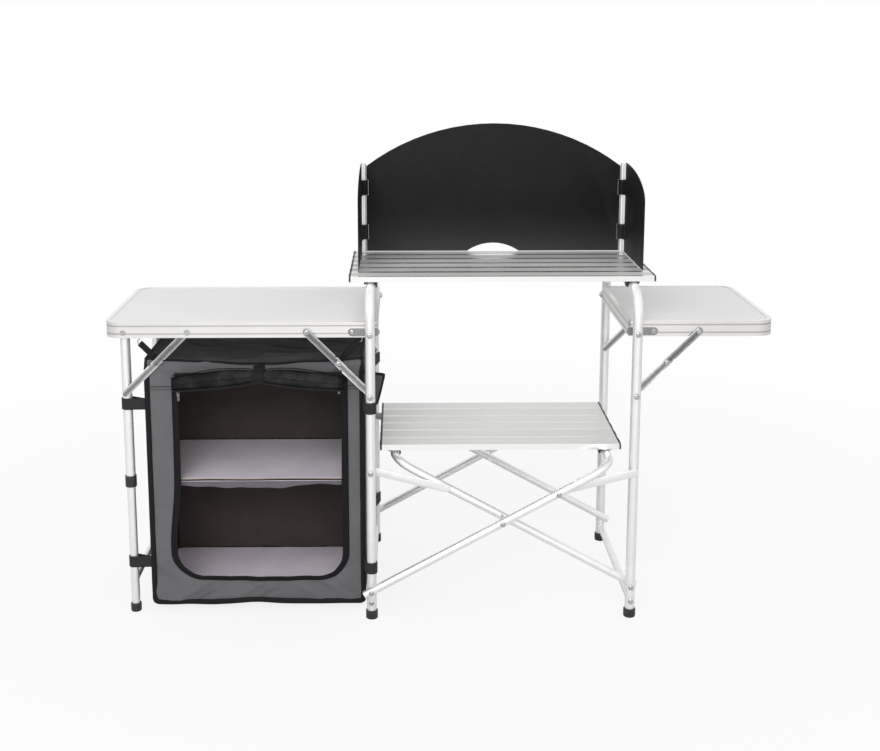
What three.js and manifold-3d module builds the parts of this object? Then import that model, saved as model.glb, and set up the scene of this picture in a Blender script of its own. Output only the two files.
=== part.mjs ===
// Folding camping kitchen: a work deck with a windshield, a lower deck on a scissor frame,
// two folding side tables and a fabric cupboard. Millimetres, +Z up, the front faces -Y.
import * as THREE from 'three';
import { mergeVertices } from 'three/addons/utils/BufferGeometryUtils.js';
import Module from 'manifold-3d';

const wasm = await Module();
wasm.setup();

// Driving dimensions
const gap = 0.3; // between pieces that touch
const tubeSides = 12;
const pinSides = 8;
const bendSteps = 6;
const cornerSteps = 4;
const cutOver = 5; // how far a cutter runs past what it cuts

const legSpan = 586; // between the planes of the two side frames
const legOffset = 225; // from the middle to a leg's centre, front and back
const legTube = 22;
const legBend = 60;
const footHeight = 20;
const footWall = 2;
const footSole = 4;
const crossbarTube = 16;
const crossbarHeight = 40;

const deckHeight = 778; // top of the work deck
const deckDepth = 342;
const deckThick = 12;
const deckOverhang = 48.5; // deck past a leg's centre
const shelfHeight = 390; // top of the lower deck
const shelfOverhang = 33.6; // lower deck past the scissor tube under it
const slatCount = 6;
const slatWall = 1.6;
const slatFlange = 18; // foot of each slat wall, turned in under the slat
const seamWidth = 2.4;
const seamDepth = 3;
const hookThick = 2.4;
const stripWall = 5;
const stripFlange = 3;
const stripWave = 1.5; // how far the strip swells beside each slat
const stripSteps = 4;

const pivotHeight = 73; // lower ends of the scissor bars
const crossingHeight = 234;
const scissorTube = 18;
const scissorBend = 48;
const scissorTail = 18; // tube past its lower pivot
const layerGap = 3; // between a leg and the bar beside it
const pinSize = 6;
const pinPlay = 0.3;
const rivetSize = 12;
const rivetHead = 2;
const linkReach = 141; // from the crossing to the link's rivet
const linkWidth = 18;
const linkThick = 2.2;
const linkPivotHeight = 345;

const saddleWidth = 29;
const saddleLength = 24;
const saddleHeight = 9;
const saddleWeb = 2; // saddle left between the tube and the deck
const saddleLip = 7;
const saddleLipWall = 4;
const saddleToPost = 20; // from a windshield post to the deck saddle in front of it
const saddleFromBend = 17; // from the inner scissor tube's bend to a saddle's middle

const tableTop = 683;
const tableGap = 14; // from a table's rim to the legs beside it
const rimHeight = 35;
const rimWall = 3;
const rimLip = 6;
const lipThick = 1.2;
const ledgeThick = 1.2;
const panelThick = 8;
const grooveDepth = 0.8;
const grooveHeight = 3;
const rimCorner = 35;
const innerCorner = 12;
const tableHinge = 660; // height of the line of table pivots
const tableInner = 15; // table past the leg's centre, towards the middle
const tableOverhang = 42; // left table past the outer legs' centre
const rightReach = 308; // from the right legs to the right table's end
const hingePlateThick = 2;
const hingePlateWidth = 18;
const hingePlateReach = 40;
const hingePlateTail = 24;

const stayArm = 140; // from a table pivot to a stay's pivots
const stayWidth = 16;
const stayThick = 1.6;
const stayHead = 1.2;
const stayStep = 1.6; // between the two links of a stay
const stayFlange = 3; // turned-up edge of a lower link
const stayFlangeWall = 1.2;
const stayFlangeStart = 18; // plain end of a lower link, to its flanges
const lockNotch = 5; // cut in a link's edge for the catch
const lockPlace = 15; // from the knee to the notch

const outerLegReach = 543; // from the left legs to the outer legs
const outerLegInset = 21; // from the rim's face to an outer leg's centre
const outerTube = 22;
const innerTube = 19;
const tubePlay = 0.4;
const collarTop = 326;
const collarHeight = 26;
const collarSize = 26;
const innerTubeInside = 60; // lower tube held inside the upper one
const legSlide = 200; // travel of the lower frame into the upper tubes
const legTopCap = 7; // upper tube past its pivot
const outerBarHeight = 75;
const outerBarTube = 15;

const postSize = 13;
const postInsetX = 26; // from the deck's end to the windshield post
const postInsetY = 14;
const postRise = 217; // heights above the deck's top
const postSocketDepth = 20;
const socketWall = 4;
const shieldThick = 1.6;
const shieldSideRise = 211; // straight sides of the windshield
const shieldRise = 314;
const shieldLift = 2; // between the deck and the panel's lower edge
const notchWidth = 127;
const notchRise = 20;
const wingLength = 271;
const wingRearRise = 220;
const wingFrontRise = 156;
const wingOffset = 5; // wing plane beside its post's axis
const wingStart = 16; // wing's edge in front of its post's axis
const clipHeight = 36;
const clipSize = 22;
const clipLowRise = 32;
const clipHighRise = 141;
const tabThick = 6;
const tabReach = 12;
const arcSteps = 20;

const cupboardLegGap = 32; // from the outer legs to the cupboard's outer wall
const cupboardRight = 17; // from the left legs' centre
const cupboardInset = 12; // from the rim's face to the front wall
const cupboardDepth = 308;
const cupboardBottom = 20;
const cupboardTop = 600;
const roofSag = 12;
const clothThick = 4;
const doorInsetLeft = 53;
const doorInsetRight = 42;
const doorBottom = 82;
const doorTop = 565;
const doorCorner = 60;
const doorTopCorner = 12;
const boardThick = 6;
const upperShelf = 314;
const valanceDrop = 18;
const valanceSag = 7;
const valanceThick = 2.4;
const rollEnd = 20; // the rolled door's size at its ends, where its corners are round
const rollMiddle = 40;
const rollDrop = 9; // from the opening's top edge to the roll's axis
const sagSteps = 12;
const tieWidth = 25;
const tieThick = 2;
const strapHeight = 26;
const strapHigh = 482;
const strapLow = 109;
const strapThick = 2;

// Colours
const finish = (color, roughness, metalness) => new THREE.MeshStandardMaterial({ color, roughness, metalness });
const aluminium = finish(0xd3d5d6, 0.32, 0.9);
const brushed = finish(0xbfc1c2, 0.4, 0.9);
const steel = finish(0x8b8f91, 0.4, 0.9);
const white = finish(0xe2e2e1, 0.45, 0);
const plastic = finish(0x2a2b2d, 0.55, 0);
const board = finish(0x2b2c2e, 0.5, 0);
const greyCloth = finish(0x66656b, 0.9, 0);
const lilacCloth = finish(0xa79fab, 0.85, 0);
const mesh = finish(0x1b1b1d, 0.9, 0);

// Places that follow from the sizes
const half = 0.5;
const legRadius = legTube * half;
const legInner = legOffset - legRadius;
const legOuter = legOffset + legRadius;
const scissorRadius = scissorTube * half;
const outerScissor = legOuter + layerGap + scissorRadius;
const innerScissor = legInner - layerGap - scissorRadius;
const deckBottom = deckHeight - deckThick;
const deckLength = legSpan + 2 * deckOverhang;
const topTubeHeight = deckBottom - saddleWeb - 2 * gap - legRadius;
const shelfBottom = shelfHeight - deckThick;
const lowTubeHeight = shelfBottom - saddleWeb - 2 * gap - scissorRadius;
const halfSpan = legSpan * half;
const lowArm = Math.hypot(halfSpan, crossingHeight - pivotHeight);
const scissorAngle = Math.atan2(halfSpan, crossingHeight - pivotHeight);
const fullArm = (lowTubeHeight - pivotHeight) / Math.cos(scissorAngle);
const highTubeX = fullArm * Math.sin(scissorAngle); // from the bar's own lower pivot
const shelfLength = 2 * (highTubeX + shelfOverhang) - legSpan;
const leftReach = outerLegReach + tableOverhang;
const slabTop = tableTop - tableHinge;
const slabBottom = slabTop - rimHeight;
const rimFace = legInner - tableGap;
const outerLegOffset = rimFace - outerLegInset;
const panelTop = slabTop - lipThick - gap;
const panelBottom = panelTop - panelThick;
const outerRadius = outerTube * half;
const outerFace = outerLegOffset + outerRadius;
const boreSize = innerTube + 2 * tubePlay;
const deckMiddle = halfSpan;
const pivotHole = pinSize + 2 * pinPlay;

// size of a faceted bore whose flats stay clear of a round bar by the gap
const around = (size) => (size + 2 * gap) / Math.cos(Math.PI / tubeSides);

const parts = new THREE.Group();

function add(name, solid, material, parent = parts) {
  const piece = new THREE.Mesh(solid.isBufferGeometry ? solid : toGeometry(solid), material);
  piece.name = name;
  parent.add(piece);
  return piece;
}

// Joins and cuts

function toSolid(geometry) {
  const bare = geometry.clone();
  bare.deleteAttribute('normal');
  bare.deleteAttribute('uv');
  const merged = mergeVertices(bare);
  return new wasm.Manifold(new wasm.Mesh({
    numProp: 3,
    vertProperties: Float32Array.from(merged.attributes.position.array),
    triVerts: Uint32Array.from(merged.index.array),
  }));
}

function toGeometry(solid) {
  const data = solid.getMesh();
  const geometry = new THREE.BufferGeometry();
  geometry.setAttribute('position', new THREE.BufferAttribute(Float32Array.from(data.vertProperties), 3));
  geometry.setIndex(new THREE.BufferAttribute(Uint32Array.from(data.triVerts), 1));
  geometry.computeVertexNormals();
  return geometry;
}

const fuse = (...solids) => solids.reduce((sum, solid) => sum.add(solid));
const cut = (solid, ...tools) => tools.reduce((rest, tool) => rest.subtract(tool), solid);

// Basic solids

const point = (x, y, z) => new THREE.Vector3(x, y, z);

function block(low, high) {
  const size = high.clone().sub(low);
  const middle = low.clone().add(high).multiplyScalar(half);
  return toSolid(new THREE.BoxGeometry(size.x, size.y, size.z).translate(middle.x, middle.y, middle.z));
}

// a round rod along Y at (x, z), between two places on Y
function pin(x, z, from, to, size, sides = pinSides) {
  const length = Math.abs(to - from);
  const rod = new THREE.CylinderGeometry(size * half, size * half, length, sides);
  return toSolid(rod.translate(x, (from + to) * half, z));
}

// a round rod along Z at (x, y)
function column(x, y, from, to, size, sides = tubeSides) {
  const rod = new THREE.CylinderGeometry(size * half, size * half, to - from, sides).rotateX(Math.PI * half);
  return toSolid(rod.translate(x, y, (from + to) * half));
}

// corners joined by arcs of one radius
function roundedPath(corners, radius) {
  const path = [corners[0]];
  for (let i = 1; i < corners.length - 1; i++) {
    const into = corners[i].clone().sub(corners[i - 1]).normalize();
    const out = corners[i + 1].clone().sub(corners[i]).normalize();
    const turn = into.angleTo(out);
    const start = corners[i].clone().addScaledVector(into, -radius * Math.tan(turn * half));
    const inward = out.clone().addScaledVector(into, -out.dot(into)).normalize();
    const centre = start.clone().addScaledVector(inward, radius);
    for (let step = 0; step <= bendSteps; step++) {
      const angle = turn * step / bendSteps;
      path.push(centre.clone()
        .addScaledVector(into, radius * Math.sin(angle))
        .addScaledVector(inward, -radius * Math.cos(angle)));
    }
  }
  path.push(corners[corners.length - 1]);
  return path;
}

// a round bar along a flat path, where across is square to the path's plane; its size may change along it
function bentBar(path, across, size, sizeAt = () => size) {
  const positions = [];
  const faces = [];
  path.forEach((place, i) => {
    const before = i > 0 ? place.clone().sub(path[i - 1]).normalize() : null;
    const after = i < path.length - 1 ? path[i + 1].clone().sub(place).normalize() : null;
    const tangent = (before ?? after).clone().add(after ?? before).normalize();
    const stretch = 1 / tangent.dot(after ?? before);
    const side = new THREE.Vector3().crossVectors(across, tangent);
    for (let k = 0; k < tubeSides; k++) {
      const angle = (k + half) * 2 * Math.PI / tubeSides;
      positions.push(...place.clone()
        .addScaledVector(across, Math.cos(angle) * sizeAt(i) * half)
        .addScaledVector(side, Math.sin(angle) * sizeAt(i) * half * stretch).toArray());
    }
    if (i === 0) return;
    const ring = i * tubeSides;
    for (let k = 0; k < tubeSides; k++) {
      const next = (k + 1) % tubeSides;
      faces.push(ring - tubeSides + k, ring + k, ring + next);
      faces.push(ring - tubeSides + k, ring + next, ring - tubeSides + next);
    }
  });
  const last = (path.length - 1) * tubeSides;
  for (let k = 1; k < tubeSides - 1; k++) {
    faces.push(0, k, k + 1);
    faces.push(last, last + k + 1, last + k);
  }
  const geometry = new THREE.BufferGeometry();
  geometry.setAttribute('position', new THREE.Float32BufferAttribute(positions, 3));
  geometry.setIndex(faces);
  return toSolid(geometry);
}

// a flat bar with round ends in the XZ plane, from one pivot to another
function flatBar(from, to, width, low, high) {
  const along = to.clone().sub(from);
  const shape = new THREE.Shape();
  shape.absarc(0, 0, width * half, Math.PI * half, Math.PI * 3 * half, false);
  shape.absarc(along.length(), 0, width * half, -Math.PI * half, Math.PI * half, false);
  const bar = new THREE.ExtrudeGeometry(shape, { depth: high - low, bevelEnabled: false, curveSegments: cornerSteps });
  bar.rotateX(Math.PI * half).translate(0, high, 0);
  bar.rotateY(-Math.atan2(along.z, along.x)).translate(from.x, 0, from.z);
  return toSolid(bar);
}

// a square-edged bar in the XZ plane
function plainBar(from, to, width, low, high) {
  const along = to.clone().sub(from);
  const bar = new THREE.BoxGeometry(along.length(), high - low, width);
  bar.translate(along.length() * half, (low + high) * half, 0);
  bar.rotateY(-Math.atan2(along.z, along.x)).translate(from.x, 0, from.z);
  return toSolid(bar);
}

// a rounded rectangle; the two ends on X have their own corner radii
function slabOutline(left, right, depth, leftCorner, rightCorner, inset = 0) {
  const x1 = left + inset;
  const x2 = right - inset;
  const y = depth * half - inset;
  const r1 = Math.max(leftCorner - inset, gap);
  const r2 = Math.max(rightCorner - inset, gap);
  const shape = new THREE.Shape();
  shape.absarc(x1 + r1, -y + r1, r1, Math.PI, Math.PI * 3 * half, false);
  shape.absarc(x2 - r2, -y + r2, r2, -Math.PI * half, 0, false);
  shape.absarc(x2 - r2, y - r2, r2, 0, Math.PI * half, false);
  shape.absarc(x1 + r1, y - r1, r1, Math.PI * half, Math.PI, false);
  return shape;
}

function prism(shape, low, high, curveSegments = cornerSteps) {
  const solid = new THREE.ExtrudeGeometry(shape, { depth: high - low, bevelEnabled: false, curveSegments });
  return toSolid(solid.translate(0, 0, low));
}

// a shape drawn in XZ, given thickness along Y
function panelXZ(shape, low, high, curveSegments = bendSteps) {
  const solid = new THREE.ExtrudeGeometry(shape, { depth: high - low, bevelEnabled: false, curveSegments });
  return toSolid(solid.rotateX(Math.PI * half).translate(0, high, 0));
}

// Side frames

function frameTube(drills) {
  const corners = [
    point(0, -legOffset, footSole), point(0, -legOffset, topTubeHeight),
    point(0, legOffset, topTubeHeight), point(0, legOffset, footSole),
  ];
  const tube = bentBar(roundedPath(corners, legBend), point(1, 0, 0), legTube);
  const reach = legOuter + cutOver;
  return cut(tube, ...drills.map((z) => pin(0, z, -reach, reach, pivotHole)));
}

function crossbar() {
  const end = legInner - gap;
  const bar = pin(0, crossbarHeight, -end, end, crossbarTube, tubeSides);
  const screws = [-1, 1].flatMap((side) => [
    pin(0, crossbarHeight, side * (end - cutOver), side * (legOuter + rivetHead), pinSize),
    pin(0, crossbarHeight, side * (legOuter + gap), side * (legOuter + gap + rivetHead), rivetSize),
  ]);
  return fuse(bar, ...screws);
}

function foot(x, y, tubeSize) {
  const size = around(tubeSize) + 2 * footWall;
  const profile = [
    [0, 0], [size * half - footWall * half, 0], [size * half, footWall],
    [size * half, footHeight - footWall * half], [size * half - footWall * half, footHeight],
    [around(tubeSize) * half, footHeight], [around(tubeSize) * half, footSole - gap], [0, footSole - gap],
  ].map(([r, z]) => new THREE.Vector2(r, z));
  const cup = new THREE.LatheGeometry(profile, tubeSides).rotateX(Math.PI * half);
  cup.rotateZ(Math.PI / tubeSides);
  return toSolid(cup.translate(x, y, 0));
}

// the plastic seat between a tube along Y and the deck above it
function saddle(y, tubeSize, tubeZ, deckZ, inboard) {
  const top = deckZ - gap;
  const low = point(-saddleWidth * half, y - saddleLength * half, top - saddleHeight);
  const high = point(saddleWidth * half, y + saddleLength * half, top);
  const body = block(low, high);
  const lipStart = inboard * (saddleWidth * half - saddleLipWall);
  const lipEnd = inboard * saddleWidth * half;
  const lip = block(
    point(Math.min(lipStart, lipEnd), y - saddleLength * half, top - saddleHeight - saddleLip),
    point(Math.max(lipStart, lipEnd), y + saddleLength * half, top - saddleHeight),
  );
  const reach = saddleLength * half + cutOver;
  const seat = pin(0, tubeZ, y - reach, y + reach, around(tubeSize), tubeSides);
  return cut(fuse(body, lip), seat);
}

const postX = deckLength * half - postInsetX;
const postY = deckDepth * half - postInsetY;
const deckSaddleY = postY - saddleToPost;
const shelfSaddleY = innerScissor - scissorBend - saddleFromBend;
const frameDrills = [crossbarHeight, pivotHeight, linkPivotHeight, tableHinge - stayArm, tableHinge];

for (const [name, x, inboard] of [['left', 0, 1], ['right', legSpan, -1]]) {
  const frame = new THREE.Group();
  frame.position.x = x;
  parts.add(frame);
  add(`${name}_frame_tube`, frameTube(frameDrills), aluminium, frame);
  add(`${name}_crossbar`, crossbar(), aluminium, frame);
  for (const [place, side] of [['front', -1], ['rear', 1]]) {
    add(`${name}_${place}_foot`, foot(0, side * legOffset, legTube), plastic, frame);
    const seat = saddle(side * deckSaddleY, legTube, topTubeHeight, deckBottom, inboard);
    add(`${name}_${place}_deck_saddle`, seat, plastic, frame);
  }
}

// Scissor frame: two U-shaped tubes, each drawn upright from its lower pivot and then leaned over

function scissorTubeShape(offset) {
  const corners = [
    point(0, -offset, -scissorTail), point(0, -offset, fullArm),
    point(0, offset, fullArm), point(0, offset, -scissorTail),
  ];
  return bentBar(roundedPath(corners, scissorBend), point(1, 0, 0), scissorTube);
}

function outerScissorSolid() {
  const pins = [-1, 1].flatMap((side) => [
    pin(0, 0, side * (legInner - gap), side * outerScissor, pinSize),
    pin(0, 0, side * (legInner - gap - rivetHead), side * (legInner - gap), rivetSize),
    pin(0, 0, side * (legOuter + gap), side * outerScissor, rivetSize),
    pin(0, lowArm, side * (innerScissor - scissorRadius - rivetHead), side * outerScissor, pinSize),
    pin(0, lowArm, side * (innerScissor - scissorRadius - gap - rivetHead),
      side * (innerScissor - scissorRadius - gap), rivetSize),
    pin(0, lowArm, side * (innerScissor + scissorRadius + gap), side * outerScissor, rivetSize),
    ...[0, lowArm, lowArm + linkReach].map((z) => pin(0, z, side * outerScissor,
      side * (outerScissor + scissorRadius + rivetHead), rivetSize)),
  ]);
  return fuse(scissorTubeShape(outerScissor), ...pins);
}

function innerScissorSolid() {
  const pins = [-1, 1].flatMap((side) => [
    pin(0, 0, side * innerScissor, side * (legOuter + gap + rivetHead), pinSize),
    pin(0, 0, side * (legOuter + gap), side * (legOuter + gap + rivetHead), rivetSize),
    pin(0, 0, side * innerScissor, side * (legInner - gap), rivetSize),
  ]);
  const reach = innerScissor + scissorRadius + cutOver;
  return cut(fuse(scissorTubeShape(innerScissor), ...pins), pin(0, lowArm, -reach, reach, pivotHole));
}

const outerLean = new THREE.Group();
outerLean.position.set(0, 0, pivotHeight);
outerLean.rotation.y = scissorAngle;
parts.add(outerLean);
add('scissor_outer_tube', outerScissorSolid(), aluminium, outerLean);

const innerLean = new THREE.Group();
innerLean.position.set(legSpan, 0, pivotHeight);
innerLean.rotation.y = -scissorAngle;
parts.add(innerLean);
add('scissor_inner_tube', innerScissorSolid(), aluminium, innerLean);

for (const [name, x, inboard] of [['left', legSpan - highTubeX, 1], ['right', highTubeX, -1]]) {
  for (const [place, side] of [['front', -1], ['rear', 1]]) {
    const seat = saddle(side * shelfSaddleY, scissorTube, lowTubeHeight, shelfBottom, inboard);
    add(`${name}_${place}_shelf_saddle`, seat, plastic).position.x = x;
  }
}

// Links that hold the side frames upright, from a leg to the far scissor bar

const rivetRise = lowArm + linkReach;
const linkFar = point(legSpan - rivetRise * Math.sin(scissorAngle), 0, pivotHeight
  + rivetRise * Math.cos(scissorAngle));

for (const [name, legX, farX, layer, pinFrom, pinTo, headFrom] of [
  ['left', 0, linkFar.x, legInner - layerGap * half, legInner, legOuter + gap, legOuter + gap],
  ['right', legSpan, legSpan - linkFar.x, legOuter + layerGap * half, legOuter, legInner - gap,
    legInner - gap - rivetHead],
]) {
  for (const [place, side] of [['front', -1], ['rear', 1]]) {
    const faces = [side * (layer - linkThick * half), side * (layer + linkThick * half)];
    const bar = flatBar(point(legX, 0, linkPivotHeight), point(farX, 0, linkFar.z), linkWidth,
      Math.min(...faces), Math.max(...faces));
    const shank = pin(legX, linkPivotHeight, side * layer, side * pinTo, pinSize);
    const head = pin(legX, linkPivotHeight, side * headFrom, side * (headFrom + rivetHead), rivetSize);
    const tip = side * (layer + (name === 'left' ? 1 : -1) * (linkThick * half + rivetHead * half));
    const button = pin(farX, linkFar.z, side * layer, tip, rivetSize);
    add(`${name}_${place}_link`, fuse(bar, shank, head, button), aluminium);
  }
}

// Roll-up decks: slats hooked edge to edge, with a plastic strip on each end

function slatProfile() {
  const slat = deckDepth / slatCount;
  const shape = new THREE.Shape();
  shape.moveTo(-deckDepth * half, 0);
  for (let i = 0; i < slatCount; i++) {
    const left = -deckDepth * half + i * slat + (i === 0 ? 0 : seamWidth * half);
    const right = -deckDepth * half + (i + 1) * slat - (i === slatCount - 1 ? 0 : seamWidth * half);
    shape.lineTo(left + slatFlange, 0);
    shape.lineTo(left + slatFlange, slatWall);
    shape.lineTo(left + slatWall, slatWall);
    shape.lineTo(left + slatWall, deckThick - slatWall);
    shape.lineTo(right - slatWall, deckThick - slatWall);
    shape.lineTo(right - slatWall, slatWall);
    shape.lineTo(right - slatFlange, slatWall);
    shape.lineTo(right - slatFlange, 0);
    shape.lineTo(right, 0);
    if (i < slatCount - 1) {
      shape.lineTo(right, deckThick - seamDepth - hookThick);
      shape.lineTo(right + seamWidth, deckThick - seamDepth - hookThick);
      shape.lineTo(right + seamWidth, 0);
    }
  }
  for (let i = slatCount - 1; i >= 0; i--) {
    const left = -deckDepth * half + i * slat + (i === 0 ? 0 : seamWidth * half);
    const right = -deckDepth * half + (i + 1) * slat - (i === slatCount - 1 ? 0 : seamWidth * half);
    shape.lineTo(right, deckThick);
    shape.lineTo(left, deckThick);
    if (i > 0) {
      shape.lineTo(left, deckThick - seamDepth);
      shape.lineTo(left - seamWidth, deckThick - seamDepth);
    }
  }
  return shape;
}

// slats run along X between the end strips
function slats(length) {
  const run = length - 2 * (stripWall + gap);
  const solid = new THREE.ExtrudeGeometry(slatProfile(), { depth: run, bevelEnabled: false });
  solid.rotateX(Math.PI * half).rotateZ(Math.PI * half);
  return toSolid(solid.translate(-run * half, 0, 0));
}

// a strip at the left end of a deck of this length, swelling a little beside each slat
function endStrip(length) {
  const start = -length * half;
  const shape = new THREE.Shape();
  shape.moveTo(start + stripWall, deckDepth * half);
  const steps = slatCount * stripSteps;
  for (let step = 0; step <= steps; step++) {
    const swell = stripWave * Math.abs(Math.sin(Math.PI * step / stripSteps));
    shape.lineTo(start + stripWave - swell, deckDepth * (half - step / steps));
  }
  shape.lineTo(start + stripWall, -deckDepth * half);
  return prism(shape, 0, deckThick);
}

function postSocket() {
  const size = around(postSize) + 2 * socketWall;
  const foot = column(-postX, postY, -gap - postSocketDepth, -gap, size);
  const arm = block(
    point(-deckLength * half, postY - size * half, -gap - stripFlange),
    point(-postX, postY + size * half, -gap),
  );
  const upright = block(
    point(-deckLength * half, postY - size * half, -gap - stripFlange),
    point(-deckLength * half + stripWall, postY + size * half, deckThick * half),
  );
  const bore = column(-postX, postY, -gap - postSocketDepth + stripFlange, cutOver, around(postSize));
  return cut(fuse(foot, arm, upright), bore);
}

function mirrored(solid) {
  return solid.mirror([1, 0, 0]);
}

const topDeck = new THREE.Group();
topDeck.position.set(deckMiddle, 0, deckBottom);
parts.add(topDeck);
const postHoles = [-1, 1].map((side) => column(side * postX, postY, -cutOver, deckThick + cutOver,
  around(postSize)));
add('top_deck_slats', cut(slats(deckLength), ...postHoles), brushed, topDeck);
const socketStrip = fuse(endStrip(deckLength), postSocket());
add('top_deck_left_strip', socketStrip, plastic, topDeck);
add('top_deck_right_strip', mirrored(socketStrip), plastic, topDeck);

const lowDeck = new THREE.Group();
lowDeck.position.set(deckMiddle, 0, shelfBottom);
parts.add(lowDeck);
add('lower_deck_slats', slats(shelfLength), brushed, lowDeck);
add('lower_deck_left_strip', endStrip(shelfLength), plastic, lowDeck);
add('lower_deck_right_strip', mirrored(endStrip(shelfLength)), plastic, lowDeck);

// Side tables, drawn for the right side about the hinge line; the left one is its mirror

function rim(reach, drills) {
  const outline = (inset) => slabOutline(-tableInner, reach, 2 * rimFace, innerCorner, rimCorner, inset);
  const outer = prism(outline(0), slabBottom, slabTop);
  const inside = prism(outline(rimWall), slabBottom - cutOver, slabTop + cutOver);
  const lip = cut(
    prism(outline(rimWall * half), slabTop - lipThick, slabTop),
    prism(outline(rimWall + rimLip), slabBottom, slabTop + cutOver),
  );
  const ledge = cut(
    prism(outline(rimWall * half), panelBottom - gap - ledgeThick, panelBottom - gap),
    prism(outline(rimWall + rimLip), slabBottom, slabTop),
  );
  const grooves = [slabTop - rimHeight / 4, slabBottom + rimHeight / 4].map((z) => cut(
    prism(outline(-cutOver), z - grooveHeight * half, z + grooveHeight * half),
    prism(outline(grooveDepth), slabBottom - cutOver, slabTop + cutOver),
  ));
  const holes = drills.map((x) => pin(x, 0, -rimFace - cutOver, rimFace + cutOver, pivotHole));
  return cut(fuse(cut(outer, inside), lip, ledge), ...grooves, ...holes);
}

function hingePlates() {
  return fuse(...[-1, 1].flatMap((side) => {
    const faces = [side * (rimFace - grooveDepth), side * (rimFace + hingePlateThick)];
    const plate = flatBar(point(-hingePlateTail * half, 0, 0), point(hingePlateReach, 0, 0), hingePlateWidth,
      Math.min(...faces), Math.max(...faces));
    return [
      plate,
      pin(0, 0, side * rimFace, side * (legInner - gap), rivetSize),
      pin(0, 0, side * rimFace, side * (legOuter + gap + rivetHead), pinSize),
      pin(0, 0, side * (legOuter + gap), side * (legOuter + gap + rivetHead), rivetSize),
      pin(hingePlateReach, 0, side * rimFace, side * (rimFace + hingePlateThick + stayHead), rivetSize),
    ];
  }));
}

function tablePanel(reach) {
  const outline = slabOutline(-tableInner, reach, 2 * rimFace, innerCorner, rimCorner, rimWall + gap);
  return prism(outline, panelBottom, panelTop);
}

const outerStayX = outerLegReach - stayArm;
for (const [name, x, reach, drills, turn] of [
  ['right', legSpan, rightReach, [stayArm], (solid) => solid],
  ['left', 0, leftReach, [stayArm, outerStayX, outerLegReach], mirrored],
]) {
  const table = new THREE.Group();
  table.position.set(x, 0, tableHinge);
  parts.add(table);
  add(`${name}_table_panel`, turn(tablePanel(reach)), white, table);
  add(`${name}_table_rim`, turn(fuse(rim(reach, drills), hingePlates())), aluminium, table);
}

// Folding stays: an upper link on the table and a lower link on the leg, in line when open

// a stay's link: a flat bar with a notch for the catch near its knee
function stayLink(end, knee, low, high) {
  const away = end.clone().sub(knee).normalize();
  const notch = knee.clone().addScaledVector(away, lockPlace);
  notch.add(point(away.z, 0, -away.x).multiplyScalar(stayWidth * half));
  return cut(flatBar(end, knee, stayWidth, low, high),
    pin(notch.x, notch.z, low - cutOver, high + cutOver, lockNotch));
}

// the turned-up edges that make a lower link a channel
function linkFlanges(end, knee, low, high) {
  const along = knee.clone().sub(end).normalize();
  const from = end.clone().addScaledVector(along, stayFlangeStart);
  const to = knee.clone().addScaledVector(along, -stayFlangeStart);
  return cut(plainBar(from, to, stayWidth, low, high),
    plainBar(end, knee, stayWidth - 2 * stayFlangeWall, low - cutOver, high + cutOver));
}

const innerUpperLayer = rimFace + hingePlateThick + stayHead + 2 * gap;
const innerLowerLayer = innerUpperLayer + stayThick + stayStep;
for (const [name, x, outward] of [['right', legSpan, 1], ['left_inner', 0, -1]]) {
  const knee = point(x + outward * stayArm * half, 0, tableHinge - stayArm * half);
  for (const [place, side] of [['front', -1], ['rear', 1]]) {
    const layer = (start, thick = stayThick) => [side * start, side * (start + thick)].sort((a, b) => a - b);
    const top = point(x + outward * stayArm, 0, tableHinge);
    const upper = fuse(
      stayLink(top, knee, ...layer(innerUpperLayer)),
      pin(top.x, top.z, side * (rimFace - rimWall), side * (innerUpperLayer + stayThick), pinSize),
      pin(top.x, top.z, side * (rimFace + gap), side * (innerUpperLayer + stayThick), rivetSize),
      pin(top.x, top.z, side * (innerUpperLayer + stayThick),
        side * (innerUpperLayer + stayThick + stayHead), rivetSize),
    );
    add(`${name}_${place}_stay_upper`, upper, steel);
    const low = point(x, 0, tableHinge - stayArm);
    const lower = fuse(
      stayLink(low, knee, ...layer(innerLowerLayer)),
      linkFlanges(low, knee, ...layer(innerLowerLayer, stayThick + stayFlange)),
      pin(low.x, low.z, side * innerLowerLayer, side * (legInner - gap), rivetSize),
      pin(low.x, low.z, side * innerLowerLayer, side * (legOuter + gap + rivetHead), pinSize),
      pin(low.x, low.z, side * (legOuter + gap), side * (legOuter + gap + rivetHead), rivetSize),
      pin(knee.x, knee.z, side * innerLowerLayer, side * (innerLowerLayer + stayThick + stayHead), rivetSize),
    );
    add(`${name}_${place}_stay_lower`, lower, steel);
  }
}

const outerLowerLayer = outerFace + gap;
const outerUpperLayer = outerLowerLayer + stayThick + gap;
for (const [place, side] of [['front', -1], ['rear', 1]]) {
  const layer = (start) => [side * start, side * (start + stayThick)].sort((a, b) => a - b);
  const top = point(-outerStayX, 0, tableHinge);
  const low = point(-outerLegReach, 0, tableHinge - stayArm);
  const knee = top.clone().add(low).multiplyScalar(half);
  const upper = fuse(
    stayLink(top, knee, ...layer(outerUpperLayer)),
    pin(top.x, top.z, side * outerUpperLayer, side * (rimFace + gap + stayHead), pinSize),
    pin(top.x, top.z, side * outerUpperLayer, side * (rimFace - rimWall - gap), rivetSize),
    pin(top.x, top.z, side * (rimFace + gap), side * (rimFace + gap + stayHead), rivetSize),
    pin(knee.x, knee.z, side * outerUpperLayer, side * (outerUpperLayer + stayThick + stayHead), rivetSize),
  );
  add(`left_outer_${place}_stay_upper`, upper, steel);
  const lower = fuse(
    stayLink(low, knee, ...layer(outerLowerLayer)),
    pin(low.x, low.z, side * (outerLegOffset + boreSize * half + gap), side * outerLowerLayer, pinSize),
  );
  add(`left_outer_${place}_stay_lower`, lower, steel);
}

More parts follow.
